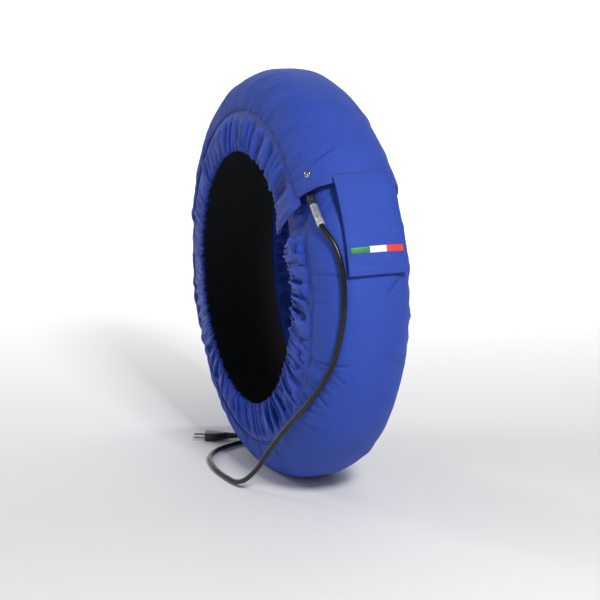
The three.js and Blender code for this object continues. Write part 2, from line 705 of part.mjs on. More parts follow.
// Strap of the cord: a loop round it, a leg up beside the loop and a tongue under the rivet
function cableClip() {
  const bore = CORD_DIAMETER / 2 + GAP;
  const rim = bore + CLIP_THICKNESS;
  const half = CLIP_WIDTH / 2;
  const { point, out } = rivetSeat();
  const seat = point.clone().addScaledVector(out, STRAP_TOP - CLIP_THICKNESS / 2);
  const centre = outletPoint(seat.clone().sub(OUTLET_START).dot(OUTLET_WAY));
  const loop = alongAxis(turned([[bore, -half], [rim, -half], [rim, half], [bore, half], [bore, -half]], 12),
    centre, OUTLET_WAY);
  const along = OUTLET_WAY.clone().addScaledVector(out, -OUTLET_WAY.dot(out)).normalize();
  const across = new THREE.Vector3().crossVectors(along, out);
  const toCord = centre.clone().sub(seat);
  if (toCord.dot(across) < 0) across.negate();
  const frame = new THREE.Matrix4().makeBasis(across, new THREE.Vector3().crossVectors(out, across), out);
  frame.setPosition(seat);
  const legAt = toCord.dot(across) - rim + CLIP_THICKNESS / 2;
  const drop = -toCord.dot(out);
  const tongue = new THREE.BoxGeometry(legAt + half + CLIP_THICKNESS / 2, CLIP_WIDTH, CLIP_THICKNESS);
  tongue.translate((legAt + CLIP_THICKNESS / 2 - half) / 2, 0, 0);
  const leg = new THREE.BoxGeometry(CLIP_THICKNESS, CLIP_WIDTH, drop);
  leg.translate(legAt, 0, -drop / 2);
  const passage = alongAxis(turned([[0, -2 * half], [bore, -2 * half], [bore, 2 * half], [0, 2 * half]], 12),
    centre, OUTLET_WAY);
  const hole = RIVET_STUD_DIAMETER / 2 + GAP;
  const studHole = rivetTurned([[0, WASHER_TOP - 2], [hole, WASHER_TOP - 2], [hole, 0], [0, 0]]);
  const joined = join(loop, tidySolid(tongue.applyMatrix4(frame)), tidySolid(leg.applyMatrix4(frame)));
  return cut(joined, passage, studHole);
}

// Power cord: down the side of the ring, over the floor and under the ring to the coil
const CORD_LIE = FLOOR + CORD_DIAMETER / 2 + 2 * GAP;
const COIL_RADIUS = COIL_DIAMETER / 2;
const COIL_BASE = FLOOR + TIE_THICKNESS + 2 * GAP;
const COIL_SIDES = 26;
const COIL_OUTSIDE = (COIL_RADIUS + COIL_WIDTH / 2) * Math.cos(Math.PI / COIL_SIDES);
const COIL_REACH = Math.sqrt(COIL_OUTSIDE ** 2 - (COIL_RADIUS - CORD_DIAMETER / 2) ** 2) + GAP;
const vector = (x, y, z) => new THREE.Vector3(x, y, z);

function cordTube(points, steps) {
  const circle = Array.from({ length: CORD_SIDES }, (_, k) => {
    const turn = 2 * Math.PI * k / CORD_SIDES;
    return new THREE.Vector2(Math.cos(turn), Math.sin(turn)).multiplyScalar(CORD_DIAMETER / 2);
  });
  const path = new THREE.CatmullRomCurve3(points, false, "centripetal");
  const tube = new THREE.ExtrudeGeometry(new THREE.Shape(circle), { steps, extrudePath: path });
  return tidySolid(tube);
}

function powerCord() {
  const outlet = [0, 0.3, 0.6, 0.85].map((share) => outletPoint(share * OUTLET_LENGTH));
  outlet.push(outletPoint(OUTLET_LENGTH - 4), outletPoint(OUTLET_LENGTH), outletPoint(OUTLET_LENGTH + 3));
  const drape = [
    vector(277, -59.5, 110.5), vector(285.5, -54.5, 100), vector(293, -50.5, 86), vector(299, -48, 69),
    vector(303.5, -46.8, 50), vector(305.8, -46.6, 28),
    vector(305.5, -48.5, -8), vector(297, -54, -52), vector(281.5, -61, -88), vector(250, -72, -128),
    vector(196, -84, -178), vector(150, -95, -226), vector(112, -107, -272),
  ];
  const floor = [
    vector(78, -117, CORD_LIE + 5), vector(35, -123, CORD_LIE), vector(-30, -122, CORD_LIE),
    vector(-84, -104, CORD_LIE), vector(-117, -60, CORD_LIE), vector(-130, 0, CORD_LIE + 3),
    vector(-141, 60, COIL_BASE + COIL_HEIGHT / 2 - 2),
    vector(COIL_CENTRE[0] + COIL_RADIUS, COIL_CENTRE[1] - COIL_REACH, COIL_BASE + COIL_HEIGHT / 2),
  ];
  return cordTube([...outlet, ...drape, ...floor], 56);
}

function cordCoil() {
  const inner = COIL_RADIUS - COIL_WIDTH / 2;
  const outer = COIL_RADIUS + COIL_WIDTH / 2;
  const edge = CORD_DIAMETER / 3;
  const profile = [[inner + edge, 0], [outer - edge, 0], [outer, edge], [outer, COIL_HEIGHT - edge],
    [outer - edge, COIL_HEIGHT], [inner + edge, COIL_HEIGHT], [inner, COIL_HEIGHT - edge], [inner, edge],
    [inner + edge, 0]];
  const coil = turned(profile, COIL_SIDES);
  coil.rotateX(Math.PI / 2);
  coil.translate(COIL_CENTRE[0], COIL_CENTRE[1], COIL_BASE);
  return tidySolid(coil);
}

// Tie: a strap round the coil's bundle on the side away from the ring
function coilTie() {
  const bend = TIE_WIDTH ** 2 / 8 / (COIL_RADIUS - COIL_WIDTH / 2);
  const half = COIL_WIDTH / 2 + GAP + bend;
  const outer = new THREE.Shape([[-half - TIE_THICKNESS, -GAP - TIE_THICKNESS],
    [half + TIE_THICKNESS, -GAP - TIE_THICKNESS], [half + TIE_THICKNESS, COIL_HEIGHT + GAP + TIE_THICKNESS],
    [-half - TIE_THICKNESS, COIL_HEIGHT + GAP + TIE_THICKNESS]].map(([x, y]) => new THREE.Vector2(x, y)));
  outer.holes.push(new THREE.Path([[-half, -GAP], [-half, COIL_HEIGHT + GAP], [half, COIL_HEIGHT + GAP],
    [half, -GAP]].map(([x, y]) => new THREE.Vector2(x, y))));
  const strap = new THREE.ExtrudeGeometry(outer, { depth: TIE_WIDTH, bevelEnabled: false });
  strap.translate(0, 0, -TIE_WIDTH / 2);
  strap.rotateX(Math.PI / 2);
  strap.rotateZ(Math.PI / 2);
  strap.translate(COIL_CENTRE[0], COIL_CENTRE[1] + COIL_RADIUS, COIL_BASE);
  return tidySolid(strap);
}

// Plug: a moulded body that tapers to a ribbed strain relief, lying on the floor
const PLUG_TURN = THREE.MathUtils.degToRad(PLUG_HEADING);
const PLUG_WAY = vector(Math.cos(PLUG_TURN), Math.sin(PLUG_TURN), 0);
const PLUG_SIDE = vector(-Math.sin(PLUG_TURN), Math.cos(PLUG_TURN), 0);
const PLUG_AXIS_HEIGHT = FLOOR + PLUG_HEIGHT / 2 + GAP / 2;
const PIN_FACE = vector(PIN_FACE_CENTRE[0], PIN_FACE_CENTRE[1], PLUG_AXIS_HEIGHT);
const plugPoint = (back, side, up) => PIN_FACE.clone()
  .addScaledVector(PLUG_WAY, -back).addScaledVector(PLUG_SIDE, side).add(vector(0, 0, up));

function plugSections() {
  const neck = PLUG_NECK_DIAMETER;
  const sections = [
    [0, PLUG_WIDTH, PLUG_HEIGHT], [PLUG_LENGTH * 0.3, PLUG_WIDTH, PLUG_HEIGHT],
    [PLUG_LENGTH * 0.65, PLUG_WIDTH * 0.82, PLUG_HEIGHT * 0.96], [PLUG_LENGTH, neck, neck],
  ];
  const ribs = 4;
  for (let k = 0; k < ribs; k++) {
    const back = PLUG_LENGTH + RELIEF_LENGTH * (k + 0.35) / ribs;
    const rib = lerp(neck - 1, CORD_DIAMETER + 1.6, k / (ribs - 1));
    sections.push([back, rib - 1, rib - 1], [back + RELIEF_LENGTH * 0.1, rib, rib]);
  }
  sections.push([PLUG_LENGTH + RELIEF_LENGTH, CORD_DIAMETER + 0.8, CORD_DIAMETER + 0.8]);
  return sections;
}

function plugBody() {
  const sides = 12;
  const rings = plugSections().map(([back, width, height]) => Array.from({ length: sides }, (_, k) => {
    const turn = 2 * Math.PI * (k + 0.5) / sides;
    const square = (value) => Math.sign(value) * Math.abs(value) ** 0.6;
    return plugPoint(back, square(Math.cos(turn)) * width / 2, square(Math.sin(turn)) * height / 2);
  }));
  const positions = rings.flat().flatMap((p) => [p.x, p.y, p.z]);
  const faces = [];
  for (let i = 0; i < rings.length - 1; i++) {
    for (let k = 0; k < sides; k++) {
      const next = (k + 1) % sides;
      const [a, b, c, d] = [i * sides + k, i * sides + next, (i + 1) * sides + next, (i + 1) * sides + k];
      faces.push(a, b, c, a, c, d);
    }
  }
  const lastRing = (rings.length - 1) * sides;
  for (let k = 1; k < sides - 1; k++) {
    faces.push(0, k + 1, k, lastRing, lastRing + k, lastRing + k + 1);
  }
  return facingOut(positions, faces);
}

function plugPin(side) {
  const radius = PIN_DIAMETER / 2;
  const profile = [[0, GAP], [radius, GAP], [radius, PIN_LENGTH - radius * 0.7],
    [radius * 0.6, PIN_LENGTH], [0, PIN_LENGTH]];
  return alongAxis(turned(profile, 12), plugPoint(0, side * PIN_SPACING / 2, 0), PLUG_WAY);
}

// The last stretch of cord, from the coil to the plug
function cordTail() {
  const level = COIL_BASE + COIL_HEIGHT / 2;
  const left = COIL_CENTRE[0] - COIL_RADIUS;
  const end = plugPoint(PLUG_LENGTH + RELIEF_LENGTH + GAP, 0, 0);
  const before = plugPoint(PLUG_LENGTH + RELIEF_LENGTH + 18, 0, -1);
  return cordTube([
    vector(left, COIL_CENTRE[1] - COIL_REACH - GAP, level), vector(left + 2, 84, level - 2),
    vector(left + 20, 50, CORD_LIE + 2), vector(lerp(left, before.x, 0.55), 28, CORD_LIE + 1), before, end,
  ], 16);
}

// Assembly
addPiece("outer_cover", outerCover(), NYLON());
addPiece("near_skirt", gatheredSkirt(-1, 11), SKIRT_NYLON());
addPiece("far_skirt", gatheredSkirt(1, 23), SKIRT_NYLON());
addPiece("near_elastic", hemElastic(-1, 11), material(0x1a1a1c, 0.8));
addPiece("far_elastic", hemElastic(1, 23), material(0x1a1a1c, 0.8));
addPiece("padding", cut(beltLayer(PADDING_TOP, PADDING_BOTTOM), thermostatBlock(GAP)), material(0xd8d5cc, 0.95));
addPiece("heater_carrier", beltLayer(CARRIER_TOP, CARRIER_BOTTOM), material(0xe4dfd0, 0.85));
addPiece("inner_lining", innerLining(), material(0x1c1d22, 0.85));
addPiece("heating_wire", heatingWire(), material(0xb0452f, 0.5));
addPiece("thermostat", thermostatBlock(0), material(0xb9bcc0, 0.35, 1));
addPiece("thermostat_crimp", crimpAt(THERMOSTAT_ANGLE + THERMOSTAT_ARC + GAP_ARC, -WIRE_OUTER_ROW),
  material(0xc2b27a, 0.4, 1));
addPiece("return_crimp", crimpAt(WIRE_START_ANGLE - CRIMP_ARC - GAP_ARC, WIRE_OUTER_ROW),
  material(0xc2b27a, 0.4, 1));

const thermostatLead = beltLead([
  { angle: LEAD_ENTRY_ANGLE, share: -LEAD_ENTRY_SHARE },
  { angle: THERMOSTAT_ANGLE - CRIMP_ARC / 2, share: -WIRE_OUTER_ROW },
  { angle: THERMOSTAT_ANGLE - 2 * GAP_ARC, share: -WIRE_OUTER_ROW },
]);
const returnLead = beltLead([
  { angle: LEAD_ENTRY_ANGLE, share: -LEAD_ENTRY_SHARE + 0.06 },
  { angle: RETURN_ANGLE, share: -WIRE_OUTER_ROW + 0.05 },
  { angle: RETURN_ANGLE, share: WIRE_OUTER_ROW },
  { angle: WIRE_START_ANGLE - CRIMP_ARC - 2 * GAP_ARC, share: WIRE_OUTER_ROW },
]);
addPiece("thermostat_lead", surfaceRod(withCordEnd(thermostatLead, -1), LEAD_DIAMETER), material(0x8c1f1c, 0.6));
addPiece("return_lead", surfaceRod(withCordEnd(returnLead, 1), LEAD_DIAMETER), material(0x2a4f9a, 0.6));
addPiece("closure_tab", tabPatch(tabColumns, tabRows, TAB_STANDOFF, TAB_STANDOFF + TAB_THICKNESS), NYLON());
addPiece("loop_tape", tabPatch(tapeColumns, tapeRows, GAP, GAP + LOOP_THICKNESS, 0), material(0x22347f, 0.95));
addPiece("hook_tape", tabPatch(tapeColumns, tapeRows, TAB_STANDOFF - GAP - HOOK_THICKNESS, TAB_STANDOFF - GAP),
  material(0x1b2a66, 0.8));
addPiece("stripe_green", stripe(0), material(0x0f7a45, 0.8));
addPiece("stripe_white", stripe(1), material(0xe8e6ea, 0.8));
addPiece("stripe_red", stripe(2), material(0xd8342c, 0.8));
addPiece("rivet_head", rivetHead(), POLISHED_METAL());
addPiece("rivet_washer", rivetWasher(), POLISHED_METAL());
addPiece("cable_clip", cableClip(), material(0x2b2c30, 0.6));
addPiece("cable_boot", cableBoot(), BLACK_RUBBER());
addPiece("label_sleeve", tubeOnCord(SLEEVE_START, SLEEVE_LENGTH, SLEEVE_DIAMETER), material(0xa8aaa6, 0.25, 0.6));
addPiece("label_band", tubeOnCord(BAND_START, BAND_LENGTH, BAND_DIAMETER), material(0xc4c6c8, 0.3, 0.6));
addPiece("power_cord", powerCord(), BLACK_RUBBER());
addPiece("cord_coil", cordCoil(), BLACK_RUBBER());
addPiece("coil_tie", coilTie(), material(0x141416, 0.7));
addPiece("cord_tail", cordTail(), BLACK_RUBBER());
addPiece("plug_body", plugBody(), BLACK_RUBBER());
addPiece("plug_pin_left", plugPin(-1), POLISHED_METAL());
addPiece("plug_pin_right", plugPin(1), POLISHED_METAL());

// The object's own box, without the loose cord and what is on it, stands centred on the origin
const ON_CORD = ["power_cord", "cord_coil", "coil_tie", "cord_tail", "plug_body", "plug_pin_left", "plug_pin_right"];
const ownBox = new THREE.Box3();
for (const mesh of ring.children) {
  if (!ON_CORD.includes(mesh.name)) ownBox.expandByObject(mesh);
}
const middle = ownBox.getCenter(new THREE.Vector3());
ring.position.set(-middle.x, -middle.y, -FLOOR);

export default root;
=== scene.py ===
# %% [markdown]
# # A tyre warmer for a motorcycle wheel
# The real object is a long padded heating belt that is wrapped round a tyre and closed with a tab.
# A skirt is sewn along each side of the belt and drawn in by elastic. This lesson dresses the
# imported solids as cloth, rubber and metal. The solids come first, because every piece sits on them.

# %% Load the frame
import math

import bpy
import numpy as np
from mathutils import Matrix, Vector


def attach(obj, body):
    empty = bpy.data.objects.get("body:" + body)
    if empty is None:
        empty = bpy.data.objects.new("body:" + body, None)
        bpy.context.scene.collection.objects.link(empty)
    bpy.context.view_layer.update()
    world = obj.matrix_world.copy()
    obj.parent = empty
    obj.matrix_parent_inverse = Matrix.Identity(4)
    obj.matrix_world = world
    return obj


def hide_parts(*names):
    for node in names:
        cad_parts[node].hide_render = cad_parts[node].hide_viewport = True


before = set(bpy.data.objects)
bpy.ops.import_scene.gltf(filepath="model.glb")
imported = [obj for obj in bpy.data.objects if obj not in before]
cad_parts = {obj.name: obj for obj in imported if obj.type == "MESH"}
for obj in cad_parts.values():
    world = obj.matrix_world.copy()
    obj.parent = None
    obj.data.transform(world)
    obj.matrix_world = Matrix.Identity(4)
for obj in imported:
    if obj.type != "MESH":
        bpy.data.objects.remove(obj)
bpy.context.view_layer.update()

# %% [markdown]
# ## The camera
# The picture was taken a little above the middle of the ring, well round to its right. A camera is
# only a place, three directions and a lens, so a matrix sets it exactly. Pointing an empty at the
# ring would be easier, but it can't give the small turn of the picture about its own axis.

# %% Camera
VIEW_AZIMUTH, VIEW_ELEVATION, VIEW_ROLL = 67.59, 12.19, -0.23
VIEW_PLACE = (2.2673, -0.9208, 0.7925)
VIEW_WIDTH_DEG = 20.93


def camera_axes(azimuth, elevation, roll):
    a, e, r = (math.radians(v) for v in (azimuth, elevation, roll))
    back = Vector((math.sin(a) * math.cos(e), -math.cos(a) * math.cos(e), math.sin(e)))
    level = Vector((math.cos(a), math.sin(a), 0))
    up = back.cross(level)
    return level * math.cos(r) + up * math.sin(r), up * math.cos(r) - level * math.sin(r), back


camera = bpy.data.objects.new("camera", bpy.data.cameras.new("camera"))
right, up, back = camera_axes(VIEW_AZIMUTH, VIEW_ELEVATION, VIEW_ROLL)
camera.matrix_world = Matrix.Translation(VIEW_PLACE) @ Matrix((right, up, back)).transposed().to_4x4()
camera.data.angle = math.radians(VIEW_WIDTH_DEG)
camera.data.clip_end = 50
bpy.context.scene.collection.objects.link(camera)
bpy.context.scene.camera = camera
bpy.context.scene.view_settings.view_transform = "Standard"
print("camera at", tuple(camera.location))

# %% [markdown]
# ## The section of the ring
# All the cloth follows one section: a squarish padded body, then a skirt down to its hem. The same
# sizes shape the solids, so the cloth lies where they lie. Every place is named by an angle round
# the ring, a share of the section and a depth under the surface. That makes stitches easy later on.

# %% Section of the ring, in millimetres about the ring's axis
OUTER_RADIUS, FLAT_DEPTH = 312.0, 7.0
BODY_HALF_WIDTH, WIDEST_RADIUS, SQUARENESS = 73.0, 228.0, 2.5
SEAM_RADIUS, HEM_RADIUS, HEM_HALF_WIDTH, SKIRT_BULGE = 252.0, 194.0, 79.0, 2.5
FLOOR = FLAT_DEPTH - OUTER_RADIUS
BODY_HEIGHT = OUTER_RADIUS - WIDEST_RADIUS
SEAM_TURN = math.acos(((SEAM_RADIUS - WIDEST_RADIUS) / BODY_HEIGHT) ** (SQUARENESS / 2))
RING_CENTRE = np.array([-1.1876, 0.0497, 305.0])


def smooth(x):
    x = np.clip(x, 0, 1)
    return x * x * (3 - 2 * x)


def section(share):
    turn = np.minimum(share, 1) * SEAM_TURN
    rise, reach = np.cos(turn) ** (2 / SQUARENESS), np.sin(turn) ** (2 / SQUARENESS)
    out, side = rise ** (SQUARENESS - 1) / BODY_HEIGHT, reach ** (SQUARENESS - 1) / BODY_HALF_WIDTH
    size = np.hypot(out, side)
    down = np.clip(share - 1, 0, 1.2)
    skirt = share > 1
    radius = np.where(skirt, SEAM_RADIUS + (HEM_RADIUS - SEAM_RADIUS) * down, WIDEST_RADIUS + BODY_HEIGHT * rise)
    y = BODY_HALF_WIDTH * reach
    y = np.where(skirt, y + (HEM_HALF_WIDTH - y) * down + SKIRT_BULGE * 4 * down * (1 - down), y)
    out, side = out / size * (1 - np.minimum(down, 1)), side / size * (1 - down) + down
    size = np.hypot(out, side)
    return radius, y, out / size, side / size


def ring_point(angle, share, depth):
    """Places in metres in the row frame; depth is in millimetres under the plain surface."""
    angle, share, depth = np.broadcast_arrays(np.asarray(angle, float), share, depth)
    radius, y, out, side = section(np.abs(share))
    radius, turn = radius - out * depth, np.radians(angle)
    z = np.maximum(radius * np.sin(turn), FLOOR + np.maximum(depth, 0))
    place = np.stack([radius * np.cos(turn), np.sign(share) * (y - side * depth), z], axis=-1)
    return (place + RING_CENTRE) / 1000


def share_at(y):
    return math.copysign(math.asin((abs(y) / BODY_HALF_WIDTH) ** (SQUARENESS / 2)) / SEAM_TURN, y)


print("crown at", ring_point(90, 0, 0), "seam at", ring_point(0, -1, 0))

# %% [markdown]
# ## Uneven cloth
# No two folds are alike, yet the script has to give the same cloth on each run. A small noise made
# from whole-number corners does both. Gathered folds have rounded crests, narrower than the hollows
# between them, and small puckers have sharp valleys. A plain sine has neither, so each has a function.

# %% Noise, folds and creases


def corner_value(i, j, seed):
    value = np.sin(i * 127.1 + j * 311.7 + seed * 74.7) * 43758.5453
    return value - np.floor(value)


def noise(x, y, seed):
    """Soft noise from -1 to 1."""
    x, y = np.broadcast_arrays(np.asarray(x, float), np.asarray(y, float))
    i, j = np.floor(x), np.floor(y)
    u, v = smooth(x - i), smooth(y - j)
    low = corner_value(i, j, seed) * (1 - u) + corner_value(i + 1, j, seed) * u
    high = corner_value(i, j + 1, seed) * (1 - u) + corner_value(i + 1, j + 1, seed) * u
    return 2 * (low * (1 - v) + high * v) - 1


def ridge(x, soft=0.02):
    """Round crests and sharp valleys, one for each whole number, from about -1 to 1."""
    return 2 * np.sqrt(np.sin(np.pi * x) ** 2 + soft) - 1


def fold(x, narrow=1.6):
    """Rounded crests narrower than the hollows between them, from -1 to 1."""
    return 2 * (0.5 + 0.5 * np.cos(2 * np.pi * x)) ** narrow - 1


def crumple(x, y, seed):
    return 1 - 2 * np.abs(noise(x, y, seed))


print("noise sample", float(noise(3.3, 1.2, 5)))

# %% [markdown]
# ## Meshes from grids
# Cloth is easiest as a grid of points: one way round the ring and one way across. The grid also
# gives every corner its place on the flat cloth, in metres, as UVs. A weave drawn on those keeps its
# threads in line with the cloth, which object coordinates wouldn't do on a curved surface.

# %% Grid meshes


def new_object(name, mesh):
    item = bpy.data.objects.new(name, mesh)
    bpy.context.scene.collection.objects.link(item)
    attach(item, "root")
    return item


def grid_mesh(name, points, loop=False, shade_mask=None):
    """points[column, row] in metres; loop joins the last row to the first and caps both ends."""
    columns, rows = points.shape[:2]
    index = np.arange(columns * rows).reshape(columns, rows)
    across = np.concatenate([index, index[:, :1]], axis=1) if loop else index
    quads = np.stack([across[:-1, :-1], across[1:, :-1], across[1:, 1:], across[:-1, 1:]], axis=-1).reshape(-1, 4)
    faces = quads.tolist()
    if loop:
        faces += [index[0].tolist(), index[-1][::-1].tolist()]
    mesh = bpy.data.meshes.new(name)
    mesh.from_pydata(points.reshape(-1, 3).tolist(), [], faces)
    along = np.concatenate([[0], np.cumsum(np.linalg.norm(np.diff(points, axis=0), axis=-1).mean(axis=1))])
    width = np.concatenate([[0], np.cumsum(np.linalg.norm(np.diff(points, axis=1), axis=-1).mean(axis=0))])
    flat = np.stack(np.meshgrid(along, width, indexing="ij"), axis=-1).reshape(-1, 2)
    corners = np.empty(len(mesh.loops), dtype=np.int32)
    mesh.loops.foreach_get("vertex_index", corners)
    mesh.uv_layers.new(name="flat_cloth").data.foreach_set("uv", flat[corners].ravel())
    # The mask for painted shade: one leaves the colour as it is, lower values darken it towards its shadow colour.
    shade_mask = np.ones(points.shape[:2]) if shade_mask is None else np.clip(shade_mask, 0, 1)
    mesh.attributes.new("painted_shade_mask", "FLOAT", "POINT").data.foreach_set("value", shade_mask.ravel())
    mesh.shade_smooth()
    return new_object(name, mesh)


def thicken(item, thickness):
    solid = item.modifiers.new("thickness", "SOLIDIFY")
    solid.thickness, solid.offset = thickness, 0
    return item


# %% [markdown]
# ## The cover
# The cover is one strip of padded cloth with its ends lapped. Its wrinkles come from three causes:
# puckers where the gathered skirt pulls at the seam, soft hollows in the padding, and a few long
# creases where the belt was folded. Each is added to the height on its own, so each can be changed.

# %% Height of the cover over the plain section
LAP_ANGLE, LAP_LENGTH, FLAP_RISE_ARC = 34.4, 9.6, 25.0
TAB_STANDOFF, TAB_SEAT = 5.1, 0.5
FLAP_RISE = TAB_STANDOFF - TAB_SEAT
END_DIP, END_DIP_START, END_DIP_ARC = 11.0, 22.0, 11.0
TAB_TOP_ANGLE, TAB_BOTTOM_ANGLE, TAB_NEAR_EDGE, TAB_FAR_EDGE, TAB_FLATNESS = 36.2, 10.1, 37.0, 44.0, 0.3
GROOVE_SHARE, GROOVE_WIDTH, GROOVE_DEPTH = 0.972, 0.008, 1.6
PADDING_RISE, LOWEST_RELIEF = 0.8, -1.05
LOWER_END_FLAT, LOWER_END_ARC = 388, 6
COVER_SEEDS = 3, 7

# Long creases: angle and distance from the middle at each end, height and half width in millimetres
CREASES = [
    (42.0, -56.8, 45.0, -22.0, -1.6, 2.4), (74.0, -69.0, 69.0, -45.0, 2.2, 6.0),
    (60.6, -69.0, 57.0, -48.0, 2.0, 5.0), (49.5, -68.0, 48.2, -52.0, 1.8, 5.0),
    (95.0, -68.0, 87.0, -42.0, 2.2, 6.0), (84.0, -69.0, 78.5, -46.0, 1.8, 5.0),
    (11.2, -70.0, 10.6, -48.0, -1.8, 1.8), (-15.4, -70.0, -13.6, -33.0, -2.2, 1.8),
    (-17.2, -52.0, -19.9, -33.0, -1.8, 2.2), (-24.6, -70.0, -28.5, -50.0, -1.6, 3.0),
    (-19.8, -70.0, -23.0, -50.0, 1.6, 3.4), (4.9, 17.0, 9.4, 40.0, -1.8, 3.5), (-9.0, 24.0, -14.0, 55.0, 1.6, 6.0),
    (30.0, -62.0, 33.6, -42.0, 1.6, 3.5), (-37.5, -70.0, -36.0, -52.0, 1.6, 3.0),
    (118.0, -69.0, 112.0, -40.0, 1.8, 5.0), (133.0, 69.0, 127.0, 42.0, 1.8, 5.0),
    (205.0, 69.0, 201.0, 38.0, 1.8, 4.0), (228.0, -69.0, 233.0, -44.0, 1.6, 4.0),
    (168.0, 70.0, 171.0, 46.0, -1.8, 2.4), (310.0, 69.0, 306.0, 41.0, 1.6, 4.0),
    (57.0, 69.0, 61.0, 40.0, 1.8, 5.0),
]


def flap_rise(angle):
    return FLAP_RISE * (1 - smooth((angle - LAP_ANGLE) / FLAP_RISE_ARC))


def lap_lift(angle):
    return flap_rise(angle) - END_DIP * smooth((angle - 360 - END_DIP_START) / END_DIP_ARC)


def around(angle):
    """Angle from -180 to 180."""
    return (angle + 180) % 360 - 180


def crease_height(angle, y):
    height = np.zeros(np.broadcast(angle, y).shape)
    scale = math.radians(1) * OUTER_RADIUS
    for a0, y0, a1, y1, size, width in CREASES:
        x, ex = around(angle - a0) * scale, around(a1 - a0) * scale
        long = ex * ex + (y1 - y0) ** 2
        share = np.clip((x * ex + (y - y0) * (y1 - y0)) / long, 0, 1)
        off = ((y - y0) * ex - x * (y1 - y0)) / math.sqrt(long)
        ends = np.hypot(x - share * ex, y - y0 - share * (y1 - y0))
        fade = np.sin(np.pi * np.clip(share * 0.86 + 0.07, 0, 1)) ** 0.6
        height += size * fade * np.exp(-(ends / width) ** 2)
        height -= 0.5 * size * fade * np.exp(-((ends - 1.9 * width) / (1.2 * width)) ** 2) * (off > 0)
    return height


def under_tab(angle, y):
    inside = smooth((around(angle) - TAB_BOTTOM_ANGLE + 4) / 4) * smooth((LAP_ANGLE + 5 - around(angle)) / 4)
    return inside * smooth((y + TAB_NEAR_EDGE + 10) / 8) * smooth((TAB_FAR_EDGE + 8 - y) / 8)


def seam_groove(share_size):
    return np.exp(-((share_size - GROOVE_SHARE) / GROOVE_WIDTH) ** 2)


def from_middle(share):
    return np.sign(share) * section(np.abs(share))[1]


def cover_puckers(angle, share):
    share_size = np.abs(share)
    seed = np.where(share > 0, COVER_SEEDS[1], COVER_SEEDS[0])
    reach = 0.5 + 0.5 * noise(angle / 7.0, 2.0, seed + 1)
    near = smooth((share_size - 0.9 + 0.42 * reach) / 0.3) * (1 - smooth((share_size - 0.965) / 0.03))
    lean = angle + 1.6 * noise(angle / 16, 0.4, seed) * (1 - share_size) * 6
    broad = fold(lean / 6.4 + 0.9 * noise(angle / 9, 1.0, seed + 2), 1.3) * (0.15 + 0.95 * reach ** 2)
    return near * (1.7 * broad + 0.35 * ridge(lean / 2.7 + 0.6 * noise(angle / 5, 1.0, seed + 4)))


def cover_relief(angle, share):
    share_size = np.abs(share)
    y = from_middle(share)
    seed = np.where(share > 0, COVER_SEEDS[1], COVER_SEEDS[0])
    at_seam = smooth((share_size - 0.42) / 0.42) * (1 - smooth((share_size - 0.975) / 0.025))
    pillows = at_seam * 1.3 * noise(angle / 5.2, share * 3.5, seed + 5)
    hollows = noise(angle / 11, y / 38, 21) + 0.4 * noise(angle / 4.5, y / 19, 22)
    fine = 0.14 * crumple(angle / 1.9, y / 8, 23) * (0.4 + at_seam)
    height = PADDING_RISE + cover_puckers(angle, share) + pillows + hollows + fine + crease_height(angle, y)
    edge = 1 - 0.8 * smooth((angle - LOWER_END_FLAT) / LOWER_END_ARC)
    height = height * edge * (1 - under_tab(angle, y)) - GROOVE_DEPTH * seam_groove(share_size)
    return np.maximum(height, LOWEST_RELIEF)


def cover_shade(angle, share):
    """Mask for painted shade: one on open cloth, falling to zero in creases, between puckers and in the seam."""
    creased = np.clip(-crease_height(angle, from_middle(share)) / 2.0, 0, 1)
    puckered = np.clip(-cover_puckers(angle, share) / 1.5, 0, 1)
    return 1 - np.clip(creased * 0.8 + puckered * 0.35 + 0.9 * seam_groove(np.abs(share)), 0, 1)


def cover_place(angle, share, depth=0.0):
    return ring_point(angle, share, depth - lap_lift(angle) - cover_relief(angle, share))


wrinkles = cover_relief(np.linspace(34, 400, 900)[:, None], np.linspace(-1, 1, 60)[None])
print("tallest wrinkle", float(wrinkles.max()), "mm")

# %% [markdown]
# The strip is a closed body: its outside, a turned edge at each seam and a plain back. The outside
# has a point about every two or three millimetres. The back is hidden by the lining, so it gets
# few rows. The flap's edge slants a little and is thicker, because its cloth is turned under.

# %% Cover
COVER_COLUMNS, COVER_ROWS, BACK_ROWS, COVER_THICKNESS, FLAP_HEM = 900, 88, 12, 1.2, 1.1
# The hidden back of the cover gets an even, strong painted shade.
BACK_SHADE = 0.3


def flap_edge(share):
    return 0.9 * share - 0.5 * share ** 2


def cover_strip():
    place = np.linspace(0, 1, COVER_COLUMNS)[:, None]
    even = np.linspace(-1, 1, COVER_ROWS)
    outside = (0.45 * np.sin(even * np.pi / 2) + 0.55 * even)[None]
    inside = np.linspace(1, -1, BACK_ROWS)[None]
    start = LAP_ANGLE - flap_edge(outside)
    angle = start + place * (LAP_ANGLE + 360 + LAP_LENGTH - start)
    roll = 1.4 * np.exp(-((np.abs(outside) - 1) / 0.012) ** 2)
    hem = FLAP_HEM * np.exp(-((angle - start) / 0.5) ** 2)
    front = cover_place(angle, outside, roll + hem * 0.6)
    angle_in = LAP_ANGLE - flap_edge(inside) + place * (360 + LAP_LENGTH + flap_edge(inside))
    thick = COVER_THICKNESS + FLAP_HEM * (1 - smooth((angle_in - LAP_ANGLE) / 3))
    back_side = ring_point(angle_in, inside * 0.99, thick + 0.6 - lap_lift(angle_in))
    shade_mask = np.concatenate([cover_shade(angle, outside), np.full((COVER_COLUMNS, BACK_ROWS), BACK_SHADE)], axis=1)
    return grid_mesh("belt_cover", np.concatenate([front, back_side], axis=1), loop=True, shade_mask=shade_mask)


belt_cover = cover_strip()
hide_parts("outer_cover")
print("cover faces", len(belt_cover.data.polygons))

# %% [markdown]
# ## The skirts
# Each skirt is a straight strip: as long at its hem as at its seam, though the hem is drawn in to a
# much smaller circle. The spare length stands up as folds. They start small at the seam, grow down
# the side and split into short pleats at the elastic. They lean in groups, as the cloth was pulled.

